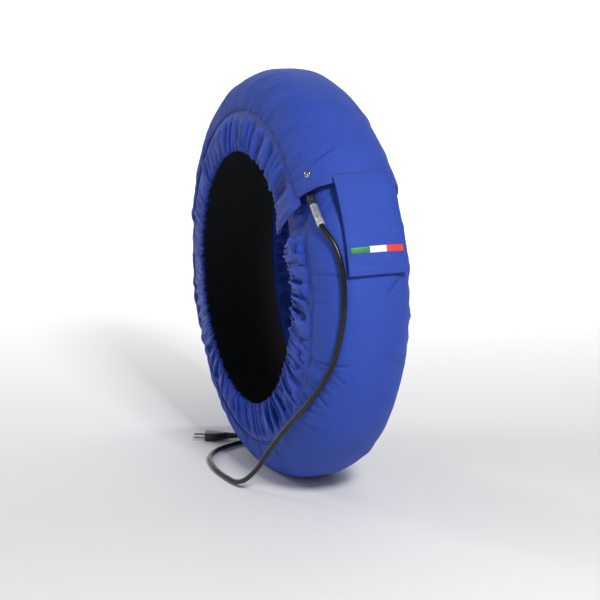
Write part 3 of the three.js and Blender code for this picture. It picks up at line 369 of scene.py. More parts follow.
# %% Folds of a skirt
SKIRT_TOP_DEPTH, TUCK_START, TUCK_ARC, SKIRT_TUCK = 1.8, 22.5, 4.0, 10.0
POCKET_BOTTOM, POCKET_MOUTH = 3.8, 1.884
BIG_ARC, MIDDLE_ARC, SHORT_ARC = 6.3, 3.3, 1.75
SWELL_ANGLE, SWELL_ARC, SWELL_HEIGHT = 382, 6.0, 9.5
HOLLOW_ANGLE, HOLLOW_ARC, HOLLOW_DEPTH = 373.5, 2.0, 4.0
SKIRT_SEEDS = {-1: 41, 1: 67}


def skirt_lift(angle):
    return flap_rise(angle) - SKIRT_TUCK * smooth((angle - 360 - TUCK_START) / TUCK_ARC)


def skirt_pleats(angle, down, seed):
    """Height of the folds in millimetres, and of the short pleats at the hem from -1 to 1."""
    lean = 3.4 * noise(angle / 15, 0.5, seed) * down
    wander = 1.2 * noise(angle / 5, down * 2.0, seed + 1)
    big = fold((angle + lean + wander) / BIG_ARC + 0.9 * noise(angle / 10, 0.5, seed + 2), 1.8)
    middle = fold((angle + 0.8 * lean + 0.7 * wander) / MIDDLE_ARC + 0.8 * noise(angle / 7, 0.8, seed + 8), 1.3)
    short = fold((angle + 0.6 * lean + 0.4 * wander) / SHORT_ARC + 0.8 * noise(angle / 6, 0.3, seed + 3), 1.0)
    some = 0.25 + 0.75 * (0.5 + 0.5 * noise(angle / 5.5, down * 1.4, seed + 4))
    body = 0.2 + 5.6 * smooth(down / 0.42) - 2.6 * smooth((down - 0.6) / 0.4)
    right_low = smooth((angle - 296) / 24)
    pillow = 2 * np.abs(noise(angle / 2.9, down * 3.6, seed + 5)) - 0.7
    cross = (1.0 + 2.4 * right_low) * pillow * smooth(down / 0.14) * (1 - 0.5 * down)
    fine = 0.6 * crumple(angle / 1.6, down * 5, seed + 6) * (0.3 + down)
    lapped = np.where((angle < LAP_ANGLE + 8) | (angle > 360 + TUCK_START + 2), 0.4, 1.0)
    height = big * body * some * (1 - 0.35 * right_low) + middle * (0.1 + 1.7 * down) * (0.4 + some)
    height = height + short * 1.5 * smooth((down - 0.6) / 0.3) + cross + fine
    return height * lapped, short * lapped


def lower_end(angle, down):
    """Beside the lap the cloth swells out at its hem and sinks in below the folded edge."""
    swell = SWELL_HEIGHT * np.exp(-((angle - SWELL_ANGLE) / SWELL_ARC) ** 2) * smooth(down / 0.6)
    hollow = np.exp(-((angle - HOLLOW_ANGLE) / HOLLOW_ARC) ** 2) * np.exp(-((down - 0.42) / 0.2) ** 2)
    return swell - HOLLOW_DEPTH * hollow


def skirt_place(angle, share, depth, side):
    down = np.clip(share - 1, 0, 1)
    free = smooth((share - 1.02) / 0.22)
    seed = SKIRT_SEEDS[side]
    height, short = skirt_pleats(angle, down, seed)
    lift = free * skirt_lift(angle) + (1 - free) * lap_lift(angle)
    loose = (1 - smooth((angle - LAP_ANGLE + 3) / 10)) * down ** 1.5
    tooth = 1.7 * short * smooth((down - 0.75) / 0.2) / (SEAM_RADIUS - HEM_RADIUS)
    under = (SKIRT_TOP_DEPTH + 0.5) * (1 - free) + 0.5 * free + depth
    sway = (0.4 + 0.45 * noise(angle / 20, 0.7, seed + 9)) * height * free / 4.0
    height = height + lower_end(angle, down)
    return ring_point(angle + sway - 1.6 * loose, side * (share + tooth + 0.15 * loose),
                      under - lift - height * free * (1 - 0.25 * down) - 4.0 * loose)


# %% [markdown]
# The cloth runs down to the hem, turns round the elastic and is sewn back on itself. One list of
# shares and depths describes that whole path, so the pocket for the elastic is really there.

# %% Skirts
SKIRT_COLUMNS, SKIRT_THICKNESS = {-1: 1380, 1: 1060}, 0.0008
SKIRT_START, SKIRT_STOP, SKIRT_SLANT = LAP_ANGLE - 1.2, 360 + LAP_ANGLE + LAP_LENGTH, 1.6
# The skirt's fold height, over this span, sets its painted shade: darkest in the hollows between folds.
FOLD_LOW, FOLD_SPAN = 5.5, 9


def skirt_path():
    shares = list(np.linspace(0.945, 1.0, 3)) + list(np.linspace(1.02, 1.985, 23))
    depths = [0.0] * len(shares)
    for turn in (30, 90, 150):
        shares.append(1.985 + 0.018 * math.sin(math.radians(turn)))
        depths.append(POCKET_BOTTOM / 2 * (1 - math.cos(math.radians(turn))))
    shares += list(np.linspace(1.98, POCKET_MOUTH, 3))
    depths += [POCKET_BOTTOM] * 3
    return np.array(shares), np.array(depths)


def gathered_skirt(name, side):
    """The strip between its cut ends; the outer end slants, from the seam to its corner at the hem."""
    shares, depths = skirt_path()
    down = np.clip(shares - 1, 0, 1)[None]
    place = np.linspace(0, 1, SKIRT_COLUMNS[side])[:, None]
    angle = SKIRT_START - SKIRT_SLANT * down + place * (SKIRT_STOP - SKIRT_START + SKIRT_SLANT * down)
    points = skirt_place(angle, shares[None], depths[None], side)
    height, _ = skirt_pleats(angle, down, SKIRT_SEEDS[side])
    return thicken(grid_mesh(name, points, shade_mask=(height + FOLD_LOW) / FOLD_SPAN), SKIRT_THICKNESS)


near_skirt = gathered_skirt("near_gathered_skirt", -1)
far_skirt = gathered_skirt("far_gathered_skirt", 1)
for skirt, node in ((near_skirt, "near_skirt"), (far_skirt, "far_skirt")):
    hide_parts(node)
    print(skirt.name, "faces", len(skirt.data.polygons))

# %% [markdown]
# ## Elastic and lining
# The elastic lies in the hem and takes the same pleats, so it is made by the same function. The
# lining is the cloth that touches the tyre. It is smooth, because the belt is pressed against the
# tread there, and only its edges follow the seams.

# %% Elastic and lining
LINING_TOP, SEAM_STACK = 12.1, 3.1


def hem_elastic(name, side):
    shares = np.array([1.9, 1.94, 1.975, 1.975, 1.94, 1.9])
    depths = np.array([1.1, 1.1, 1.1, 2.7, 2.7, 2.7])
    angle = np.linspace(LAP_ANGLE, 360 + LAP_ANGLE + LAP_LENGTH - 0.4, 700)[:, None]
    return grid_mesh(name, skirt_place(angle, shares[None], depths[None], side), loop=True)


def belt_lining():
    share = np.linspace(-1, 1, 44)[None]
    angle = np.linspace(LAP_ANGLE + 7.7, 360 + LAP_ANGLE + LAP_LENGTH - 8, 420)[:, None]
    out = section(np.abs(share))[2]
    depth = LINING_TOP + 2.9 * out ** 2 + (SEAM_STACK - LINING_TOP) * smooth((np.abs(share) - 0.72) / 0.28)
    depth = depth + 0.7 + 0.6 * noise(angle / 6, share * 4, 81) + 0.25 * crumple(angle / 2, share * 9, 82)
    front = ring_point(angle, share, depth + 1 - lap_lift(angle))
    back_side = ring_point(angle, share[:, ::-1], depth[:, ::-1] - lap_lift(angle))
    return grid_mesh("belt_lining", np.concatenate([front, back_side], axis=1), loop=True)


near_elastic, far_elastic = hem_elastic("near_hem_elastic", -1), hem_elastic("far_hem_elastic", 1)
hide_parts("near_elastic")
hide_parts("far_elastic")
lining = belt_lining()
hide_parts("inner_lining")
print("lining faces", len(lining.data.polygons))

# %% [markdown]
# ## The closure tab
# The tab is two layers of cloth sewn edge to edge, with hook tape below and loop tape on the belt
# under it. Its edges are rounded and a little thicker than its middle, where the seam allowance is
# turned in. Bevelling a box would give sharp, even edges, so a closed grid with a pillow edge is used.

# %% Tab and tapes
TAB_THICKNESS, LOOP_THICKNESS, HOOK_THICKNESS, GAP = 2.2, 2.2, 2.0, 0.3
TAPE_MARGIN, TAPE_LENGTH = 5.0, 66.0


def arc(length):
    return math.degrees(length / OUTER_RADIUS)


def flat_rise(share, flatness=TAB_FLATNESS):
    """How far a stiff patch stands off the crown towards its sides."""
    return flatness * (OUTER_RADIUS - section(np.abs(share))[0])


def crown_patch(name, angles, sides, low, high, columns, rows, edge, relief=None, flatness=TAB_FLATNESS):
    """A closed sheet that follows the crown, from low to high over it, with rounded edges."""
    u, v = np.linspace(0, 1, columns)[:, None], np.linspace(0, 1, rows)[None]
    long, wide = angles[1] - angles[0], sides[1] - sides[0]
    angle = angles[0] + long * u + 0 * v
    y = sides[0] + wide * v + 0 * u
    share = np.vectorize(share_at)(y)
    to_edge = np.minimum(np.minimum(u, 1 - u) * long / arc(1), np.minimum(v, 1 - v) * wide)
    rounded = 1 - np.sqrt(np.clip(1 - (1 - np.clip(to_edge / edge, 0, 1)) ** 2, 0, 1))
    middle, half = (low + high) / 2, (high - low) / 2
    swell = relief(angle, y, to_edge) if relief else 0
    rise = flat_rise(share, flatness)
    front = ring_point(angle, share, -(middle + half * (1 - 0.9 * rounded) + swell + rise))
    back_side = ring_point(angle, share, -(middle - half * (1 - 0.9 * rounded) + swell * 0.6 + rise))[:, ::-1]
    return grid_mesh(name, np.concatenate([front, back_side], axis=1), loop=True)


def tab_swell(angle, y, to_edge):
    """A thick hem with a groove inside it, a sewn row near each end, soft waves and a curled corner."""
    hem = 0.35 * np.exp(-((to_edge - 1.8) / 1.4) ** 2) - 0.3 * np.exp(-((to_edge - 4.2) / 0.9) ** 2)
    top = -0.35 * np.exp(-((TAB_TOP_ANGLE - angle) / arc(1) - 9) ** 2 / 1.2)
    lower = -0.25 * np.exp(-((angle - TAB_BOTTOM_ANGLE) / arc(1) - 14) ** 2)
    soft = 0.45 * noise(angle / 3.4, y / 20, 91) + 0.2 * noise(angle / 1.6, y / 9, 92)
    curl = 1.4 * smooth((y - 25) / 18) * smooth((TAB_BOTTOM_ANGLE + 5 - angle) / 5)
    return hem + top + lower + soft + curl


TAB_FRONT = TAB_STANDOFF + TAB_THICKNESS
tab = crown_patch("closure_flap", (TAB_BOTTOM_ANGLE, TAB_TOP_ANGLE), (-TAB_NEAR_EDGE, TAB_FAR_EDGE),
                  TAB_STANDOFF, TAB_FRONT, 130, 110, 1.3, tab_swell)
TAPE_ANGLES = (TAB_BOTTOM_ANGLE + arc(TAPE_MARGIN), TAB_BOTTOM_ANGLE + arc(TAPE_MARGIN + TAPE_LENGTH))
TAPE_SIDES = (TAPE_MARGIN - TAB_NEAR_EDGE, TAB_FAR_EDGE - TAPE_MARGIN)
pile = lambda angle, y, to_edge: 0.12 * noise(angle * 9, y * 1.9, 95)
loops = crown_patch("loop_tape_pile", TAPE_ANGLES, TAPE_SIDES, GAP, GAP + LOOP_THICKNESS, 70, 80, 0.8, pile, 0)
hooks = crown_patch("hook_tape_web", TAPE_ANGLES, TAPE_SIDES, TAB_STANDOFF - GAP - HOOK_THICKNESS,
                    TAB_STANDOFF - GAP, 50, 60, 0.5)
for piece, node, look in ((tab, "closure_tab", "cover_cloth"), (loops, "loop_tape", "loop_pile"),
                          (hooks, "hook_tape", "hook_web")):
    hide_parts(node)
print("tab faces", len(tab.data.polygons))

# %% [markdown]
# ## The embroidered bars
# Three bars of satin stitch lie in a row on the tab. Satin stitch is a close row of long threads
# side by side, so each bar is a low pad with ribs across it. The ribs are in the mesh, because the
# bars are large in the picture and a bump map would leave their ends flat.

# %% Bars
STRIPE_ANGLE, STRIPE_HEIGHT, STRIPE_NEAR_EDGE, STRIPE_LENGTH = 16.4, 9.0, 33.0, 24.0
BAR_SINK, BAR_THICKNESS, RIB_PITCH, FAR_FROM_HEM = 0.25, 0.95, 0.9, 20.0


def satin_ribs(angle, y, to_edge):
    ribs = 0.09 * np.abs(np.sin(np.pi * y / RIB_PITCH))
    return ribs + 0.25 * smooth(to_edge / 2.2) + tab_swell(angle, y, FAR_FROM_HEM) * 0.6


bars = []
for order, colour in enumerate(("green", "white", "red")):
    near = -STRIPE_NEAR_EDGE + order * (STRIPE_LENGTH + GAP)
    half = arc(STRIPE_HEIGHT / 2)
    base = TAB_FRONT - BAR_SINK
    bar = crown_patch(f"{colour}_satin_bar", (STRIPE_ANGLE - half, STRIPE_ANGLE + half),
                      (near, near + STRIPE_LENGTH), base, base + BAR_THICKNESS, 14, 130, 0.6, satin_ribs)
    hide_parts(f"stripe_{colour}")
    bars.append(bar)
print("bars", [bar.name for bar in bars])

# %% [markdown]
# ## Stitching
# A row of stitches is many short threads, each a little arch that dips into the cloth at both ends.
# One small thread shape is repeated along a line of places, all joined in one mesh. A dashed bump
# would be lighter, but it has no outline where the cloth turns away from the camera.

# %% Stitches
STITCH_LENGTH, STITCH_PITCH, THREAD_RADIUS, ROW_POINTS = 0.0026, 0.0034, 0.00033, 2400
HEM_STITCH_LENGTH, HEM_STITCH_PITCH, ON_SKIRT = 0.0023, 0.0031, -0.5
COVER_ROW_SHARE, HEM_ROW_SHARE, TAB_INSET = 0.965, 1.873, 3.2
THREAD_TURNS = np.radians([18, 90, 162, 234, 306])


def line_at(marks, source, line):
    return np.stack([np.interp(marks, source, line[:, k]) for k in range(3)], axis=1)


def stitch_row(surface, depth=0.0, pitch=STITCH_PITCH, length=STITCH_LENGTH):
    """Corner places of every stitch along the line surface(depth), arched away from the cloth."""
    line, line_above = surface(depth), surface(depth - 2.0)
    along = np.concatenate([[0], np.cumsum(np.linalg.norm(np.diff(line, axis=0), axis=1))])
    middle = line_at(np.arange(pitch / 2, along[-1], pitch), along, line)
    above = line_at(np.linspace(0, 1, len(middle)), np.linspace(0, 1, len(line)), line_above)
    forward = np.gradient(middle, axis=0)
    forward /= np.linalg.norm(forward, axis=1, keepdims=True)
    up = above - middle
    up -= forward * (up * forward).sum(axis=1, keepdims=True)
    up /= np.maximum(np.linalg.norm(up, axis=1, keepdims=True), 1e-9)
    across = np.cross(forward, up)
    corners = []
    for place, rise in ((-0.5, -0.5), (-0.28, 0.9), (0.28, 0.9), (0.5, -0.5)):
        for turn in THREAD_TURNS:
            corners.append(middle + forward * place * length
                           + up * (rise * THREAD_RADIUS + THREAD_RADIUS * math.sin(turn))
                           + across * THREAD_RADIUS * 1.15 * math.cos(turn))
    return np.stack(corners, axis=1)


def stitches(name, rows):
    places = np.concatenate(rows)
    single = [[5 * i + k, 5 * i + (k + 1) % 5, 5 * i + 5 + (k + 1) % 5, 5 * i + 5 + k]
              for i in range(3) for k in range(5)]
    single += [[4, 3, 2, 1, 0], [15, 16, 17, 18, 19]]
    faces = [[20 * n + k for k in face] for n in range(len(places)) for face in single]
    mesh = bpy.data.meshes.new(name)
    mesh.from_pydata(places.reshape(-1, 3).tolist(), [], faces)
    mesh.shade_smooth()
    piece = new_object(name, mesh)
    print(name, len(places), "stitches")
    return piece


def tab_row(*corners):
    """A row on the tab between corners given as angle and distance from the middle."""
    part = np.linspace(0, 1, 60)
    angle, y = (np.concatenate([a[k] + (b[k] - a[k]) * part for a, b in zip(corners, corners[1:])]) for k in (0, 1))
    share = np.array([share_at(v) for v in y])
    height = TAB_FRONT + tab_swell(angle, y, 6.0) + flat_rise(share)
    return stitch_row(lambda depth: ring_point(angle, share, depth - height))


def flap_row(inset):
    share = np.linspace(-0.96, 0.96, 500)
    return stitch_row(lambda depth: cover_place(LAP_ANGLE - flap_edge(share) + inset, share, depth))


def skirt_end_row(side, inset):
    shares = np.linspace(1.06, 1.95, 120)
    angle = SKIRT_START - SKIRT_SLANT * (shares - 1) + inset
    return stitch_row(lambda depth: skirt_place(angle, shares, depth, side), ON_SKIRT)


turn = np.linspace(LAP_ANGLE + 0.6, 360 + LAP_ANGLE - 3, ROW_POINTS)
seam_thread = stitches("seam_stitching", [
    stitch_row(lambda depth: cover_place(turn, side * COVER_ROW_SHARE, depth)) for side in (-1, 1)])
hem_thread = stitches("hem_stitching", [
    stitch_row(lambda depth: skirt_place(turn, HEM_ROW_SHARE, depth, side), ON_SKIRT, HEM_STITCH_PITCH,
               HEM_STITCH_LENGTH) for side in (-1, 1)])
near, far = TAB_INSET - TAB_NEAR_EDGE, TAB_FAR_EDGE - TAB_INSET
low, high, top_row = TAB_BOTTOM_ANGLE + arc(TAB_INSET), TAB_TOP_ANGLE - arc(3), TAB_TOP_ANGLE - arc(14)
tab_thread = stitches("tab_stitching", [
    tab_row((high, near), (low, near), (low, far), (high, far)), tab_row((high, near), (high, far)),
    tab_row((top_row, near), (top_row, far)), tab_row((low + arc(11), near + 3), (low + arc(11), far - 3))])
end_thread = stitches("lap_end_stitching", [
    flap_row(0.9), flap_row(2.1), skirt_end_row(-1, 1.0), skirt_end_row(-1, 2.3),
    skirt_end_row(1, 1.0), skirt_end_row(1, 2.3)])

# %% [markdown]
# ## Turned fittings
# The rivet, the boot and the sleeves on the cord are round about their own axis. A profile of radius
# and height, spun round that axis, makes each of them. The profile carries the small steps and
# rounded rims that catch the light.

# %% Turned shapes


def turned(name, profile, place, way, sides=48, wobble=None):
    """Spins (radius, height) in metres about way, starting at place."""
    way = Vector(way).normalized()
    side = way.orthogonal().normalized()
    other = way.cross(side)
    profile = np.array(profile)
    turns = np.linspace(0, 2 * np.pi, sides, endpoint=False)
    radius = profile[:, 0][:, None] + (wobble(profile[:, 1][:, None], turns[None]) if wobble else 0)
    outward = np.cos(turns)[None, :, None] * np.array(side) + np.sin(turns)[None, :, None] * np.array(other)
    points = np.array(place) + profile[:, 1][:, None, None] * np.array(way) + radius[..., None] * outward
    return grid_mesh(name, points, loop=True)


def rounded(points, size=0.0004, steps=3):
    """A profile with its inner corners rounded."""
    points = [np.array(p, float) for p in points]
    made = [points[0]]
    for before, corner, after in zip(points, points[1:], points[2:]):
        a, b = before - corner, after - corner
        cut = min(size, np.linalg.norm(a) / 2.2, np.linalg.norm(b) / 2.2)
        start, end = corner + a / np.linalg.norm(a) * cut, corner + b / np.linalg.norm(b) * cut
        for t in np.linspace(0, 1, steps):
            made.append((1 - t) ** 2 * start + 2 * t * (1 - t) * corner + t ** 2 * end)
    return made + [points[-1]]


RIVET_ANGLE, RIVET_REACH, NO_RADIUS = 40.1, 60.7, 0.00001
rivet_share = share_at(-RIVET_REACH)
rivet_foot = cover_place(RIVET_ANGLE, rivet_share)
rivet_out = ring_point(RIVET_ANGLE, rivet_share, -5.0) - ring_point(RIVET_ANGLE, rivet_share, 0.0)
dome = [(NO_RADIUS, -0.0006), (0.0052, -0.0006), (0.0052, 0.0003)]
dome += [(0.0050 * math.cos(t), 0.0003 + 0.0024 * math.sin(t)) for t in np.radians([8, 20, 35, 50, 65, 80])]
dome += [(NO_RADIUS, 0.0027)]
rivet = turned("rivet_dome", rounded(dome, 0.0002), rivet_foot, rivet_out)
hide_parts("rivet_head")
print("rivet at", rivet_foot)

# %% Boot and sleeves on the cord
CORD_DIAMETER = 0.0076


def row_place(point):
    return (np.array(point, float) + RING_CENTRE) / 1000


OUTLET_START = ring_point(41.5, -0.86, 5.3)
OUTLET_END = ring_point(24.4, -0.62, -7.0)
OUTLET_WAY = (OUTLET_END - OUTLET_START) / np.linalg.norm(OUTLET_END - OUTLET_START)
OUTLET_LENGTH = float(np.linalg.norm(OUTLET_END - OUTLET_START))
BAND_START = OUTLET_LENGTH - 0.009
SLEEVE_START = BAND_START - 0.0273
BOOT_START = SLEEVE_START - 0.0153
BORE = CORD_DIAMETER / 2 - 0.0001


def on_outlet(distance):
    return OUTLET_START + OUTLET_WAY * distance


def crinkle(height, turns):
    lines = 0.00022 * crumple(turns * 1.3 + 0 * height, height * 420 + turns * 0.6, 61)
    return lines * smooth(height / 0.002) + 0.00018 * noise(turns * 2.2, height * 180, 62)


def tube(rim, radius, length, heights):
    """The profile of a sleeve with slightly drawn-in rims."""
    return [(BORE, 0), (rim, 0)] + [(radius, h) for h in heights] + [(rim, length), (BORE, length)]


boot_profile = [(BORE, 0), (0.0049, 0), (0.0055, 0.0012), (0.0055, 0.0082), (0.0045, 0.0088), (0.0045, 0.0104),
                (0.0052, 0.011), (0.005, 0.0152), (BORE, 0.0152)]
boot = turned("cable_boot_rubber", rounded(boot_profile), on_outlet(BOOT_START), OUTLET_WAY)
sleeve = turned("label_sleeve_film", tube(0.0050, 0.0052, 0.027, np.linspace(0.0006, 0.0264, 46)),
                on_outlet(SLEEVE_START), OUTLET_WAY, 56, crinkle)
band = turned("label_band_film", tube(0.0055, 0.0056, 0.009, np.linspace(0.0004, 0.0086, 14)),
              on_outlet(BAND_START), OUTLET_WAY, 56, lambda h, t: 0.00012 * noise(t * 2, h * 300, 63))
for piece, node, look in ((boot, "cable_boot", "black_rubber"), (sleeve, "label_sleeve", "sleeve_film"),
                          (band, "label_band", "band_film")):
    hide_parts(node)
print("outlet", OUTLET_LENGTH)

# %% [markdown]
# ## The cord
# The cord is a curve with a round section, because a curve keeps its thickness round every bend. It
# leaves the flap, hangs down the ring's side, crosses the floor and ends in a tied coil behind the
# ring. The coil's turns lie two beside two, as a real bundle does, and the last end runs to the plug.

# %% Cord
COIL_CENTRE, COIL_RADIUS, COIL_BASE, TURN_POINTS = (-190.0, 132.0), 43.0, FLOOR + 1.6, 16
DRAPE = [
    (277, -59.5, 110.5), (285.5, -54.5, 100), (293, -50.5, 86), (299, -48, 69), (303.5, -46.8, 50),
    (305.8, -46.6, 28), (305.5, -48.5, -8), (297, -54, -52), (281.5, -61, -88), (250, -72, -128),
    (196, -84, -178), (150, -95, -226), (112, -107, -272)]
CORD_LIE = FLOOR + 4.4
FLOOR_RUN = [(78, -117, CORD_LIE + 5), (35, -123, CORD_LIE), (-30, -122, CORD_LIE), (-84, -104, CORD_LIE),
             (-117, -60, CORD_LIE), (-131, 0, CORD_LIE), (-140, 50, CORD_LIE)]


def coil_turns(turns=3.5, layer=4.25):
    """Lower outer, lower inner, upper inner, upper outer: each turn eases into the next place."""
    spots = [(layer, layer), (-layer, layer), (-layer, 3 * layer), (layer, 3 * layer)]
    points = []
    for k in range(int(turns * TURN_POINTS) + 1):
        turn = k / TURN_POINTS
        now, part = int(turn), turn - int(turn)
        blend = float(smooth(part / 0.14)) if now else 1.0
        last, here = spots[max(now - 1, 0)], spots[min(now, 3)]
        off = last[0] + (here[0] - last[0]) * blend
        height = last[1] + (here[1] - last[1]) * blend
        angle = 2 * math.pi * turn
        points.append((COIL_CENTRE[0] + (COIL_RADIUS + off) * math.cos(angle),
                       COIL_CENTRE[1] + (COIL_RADIUS + off) * math.sin(angle), COIL_BASE + height))
    return points


PLUG_BODY_LENGTH, RELIEF_LENGTH, PLUG_HEIGHT = 36.0, 26.0, 13.7
PLUG_HEADING, PLUG_REACH = math.radians(247.5), PLUG_BODY_LENGTH + RELIEF_LENGTH
PLUG_WAY = np.array([math.cos(PLUG_HEADING), math.sin(PLUG_HEADING), 0])
PIN_FACE = np.array([-174.0, -84.0, FLOOR + PLUG_HEIGHT / 2 + GAP / 2])


def behind_face(distance, side=0.0, rise=0.0):
    aside = np.array([-PLUG_WAY[1], PLUG_WAY[0], 0])
    return PIN_FACE - PLUG_WAY * distance + aside * side + np.array([0, 0, rise])


coil = coil_turns()
tail = [(coil[-1][0] + 0.5, 106, COIL_BASE + 9.5), (coil[-1][0] + 4, 76, CORD_LIE + 1.5), (-221, 46, CORD_LIE),
        (-190, 20, CORD_LIE), behind_face(PLUG_REACH + 26, 0, -2.3), behind_face(PLUG_REACH + 8, 0, -0.6),
        behind_face(PLUG_REACH - 8), behind_face(PLUG_REACH - 20)]
outlet = [(OUTLET_START + OUTLET_WAY * OUTLET_LENGTH * s) * 1000 - RING_CENTRE
          for s in (0, 0.25, 0.5, 0.75, 0.94, 1.03)]
route = [row_place(p) for p in outlet + DRAPE + FLOOR_RUN + coil + tail]


def bezier_cord(name, points, radius):
    """The radius is set on the points, because a curve's box counts it there."""
    curve = bpy.data.curves.new(name, "CURVE")
    curve.dimensions, curve.bevel_depth, curve.bevel_resolution = "3D", 1, 5
    curve.resolution_u, curve.use_fill_caps = 6, True
    spline = curve.splines.new("BEZIER")
    spline.bezier_points.add(len(points) - 1)
    for knot, point in zip(spline.bezier_points, points):
        knot.co, knot.radius = point, radius
        knot.handle_left_type = knot.handle_right_type = "AUTO"
    return new_object(name, curve)


def curve_length(item):
    bare = bpy.data.objects.new("measure", item.data.copy())
    bare.data.bevel_depth = 0
    line = np.array([v.co[:] for v in bare.to_mesh().vertices])
    bpy.data.curves.remove(bare.data)
    return float(np.linalg.norm(np.diff(line, axis=0), axis=1).sum())


cord = bezier_cord("power_cord_rubber", route, CORD_DIAMETER / 2)
cord_length = curve_length(cord)
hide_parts("power_cord", "cord_coil", "cord_tail")
print("cord length", cord_length)

# %% [markdown]
# ## The plug and the tie
# The moulded plug tapers from a flat face to a round neck and ends in a ribbed strain relief. Rings
# of points in the shape of a rounded rectangle are joined along it. The tie is a flat strap that
# runs round the coil in the same shape.

# %% Plug and tie
RIBS = 5


def rounded_loop(count, half_wide, half_tall, power):
    """Points round a rectangle; a smaller power gives squarer corners."""
    turns = np.linspace(0, 2 * np.pi, count, endpoint=False)
    shape = lambda v: np.sign(v) * np.abs(v) ** power
    return np.stack([shape(np.cos(turns)) * half_wide, shape(np.sin(turns)) * half_tall], axis=1)


def plug_body():
    sizes = [(0, 24.5, 11.4, 0.55), (0.5, 26.4, 13.1, 0.55), (1.3, 27, 13.7, 0.55), (10, 27, 13.7, 0.55),
             (13, 26.6, 13.4, 0.6), (18, 24.6, 13.2, 0.65), (24, 21.5, 12.8, 0.7), (30, 17, 12.2, 0.8),
             (34, 13.4, 11.8, 0.95), (36, 12, 11.6, 1)]
    for k in range(RIBS):
        start = PLUG_BODY_LENGTH + RELIEF_LENGTH * (k + 0.3) / RIBS
        rib = 11.4 - 0.75 * k
        steps = ((start, rib - 1.8), (start + 0.4, rib), (start + 2.6, rib - 0.2), (start + 3.0, rib - 1.8))
        sizes += [(at, size, size, 1) for at, size in steps]
    sizes += [(62, 8.4, 8.4, 1), (62.2, 7.4, 7.4, 1)]
    rings = [[row_place(behind_face(at, side, rise)) for side, rise in rounded_loop(56, wide / 2, tall / 2, power)]
             for at, wide, tall, power in sizes]
    return grid_mesh("plug_moulding", np.array(rings), loop=True)


def tie_strap():
    half, rise, wide, thick = 10.2, 8.9, 4.5, 0.5
    outer, inner = rounded_loop(64, half + thick, rise + thick, 0.45), rounded_loop(64, half, rise, 0.45)
    centre = np.array([COIL_CENTRE[0], COIL_CENTRE[1] + COIL_RADIUS, COIL_BASE + 8.5])
    rows = [(outer, -wide + 0.4), (outer, wide - 0.4), (inner, wide), (inner, -wide)]
    points = [[row_place(centre + np.array([x, out, up])) for out, up in loop] for loop, x in rows]
    return grid_mesh("coil_tie_strap", np.array(points).transpose(1, 0, 2), loop=True)


plug, tie = plug_body(), tie_strap()
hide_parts("plug_body")
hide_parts("coil_tie")
pins = [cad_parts["plug_pin_left"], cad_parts["plug_pin_right"]]
print("plug faces", len(plug.data.polygons))

# %% [markdown]
# ## Shared effects
# Cloth, rubber and metal share two effects: a weave, which also paints shade into folds, creases and
# seams, and a fine unevenness. Each is a node group with named inputs, built once. The groups give only
# colours, values and normals that change over the surface. What is even all over, such as a metal's
# shine, stays on each material's own shader.

# %% Node groups


def socket_name(name):
    return name.replace("_", " ").title().replace("Ior", "IOR")


def feed(tree, socket, value):
    if isinstance(value, bpy.types.NodeSocket):
        tree.links.new(value, socket)
    else:
        socket.default_value = value


def make_group(name, **inputs):
    """An empty group. A tuple makes a colour input, a number a plain one."""
    tree = bpy.data.node_groups.new(name, "ShaderNodeTree")
    for label, value in inputs.items():
        kind = "NodeSocketColor" if isinstance(value, tuple) else "NodeSocketFloat"
        tree.interface.new_socket(socket_name(label), in_out="INPUT", socket_type=kind).default_value = value
    for label, kind in (("Colour", "Color"), ("Roughness", "Float"), ("Normal", "Vector")):
        tree.interface.new_socket(label, in_out="OUTPUT", socket_type="NodeSocket" + kind)
    return tree, tree.nodes.new("NodeGroupInput").outputs, tree.nodes.new("NodeGroupOutput").inputs


def math_node(tree, operation, *values):
    node = tree.nodes.new("ShaderNodeMath")
    node.operation = operation
    for socket, value in zip(node.inputs, values):
        feed(tree, socket, value)
    return node.outputs[0]


def labelled_node(tree, kind, result, **values):
    node = tree.nodes.new(kind)
    for label, value in values.items():
        feed(tree, node.inputs[label], value)
    return node.outputs[result]


def noise_node(tree, place, scale, detail=3.0, rough=0.55):
    return labelled_node(tree, "ShaderNodeTexNoise", "Fac", Vector=place, Scale=scale, Detail=detail, Roughness=rough)


def mix_colour(tree, factor, first, second, blend="MIX"):
    node = tree.nodes.new("ShaderNodeMix")
    node.data_type, node.blend_type = "RGBA", blend
    usable = {socket.name: socket for socket in node.inputs if socket.enabled}
    for label, value in (("Factor", factor), ("A", first), ("B", second)):
        feed(tree, usable[label], value)
    return [socket for socket in node.outputs if socket.enabled][0]


def give_out(tree, out, base, tone, *others):
    """Darkens the colour by its grey tone, then links it and the other two results."""
    grey_tone = tree.nodes.new("ShaderNodeCombineColor")
    for socket in grey_tone.inputs:
        tree.links.new(tone, socket)
    for socket, value in zip(out, (mix_colour(tree, 1.0, base, grey_tone.outputs[0], "MULTIPLY"), *others)):
        tree.links.new(value, socket)
    return tree


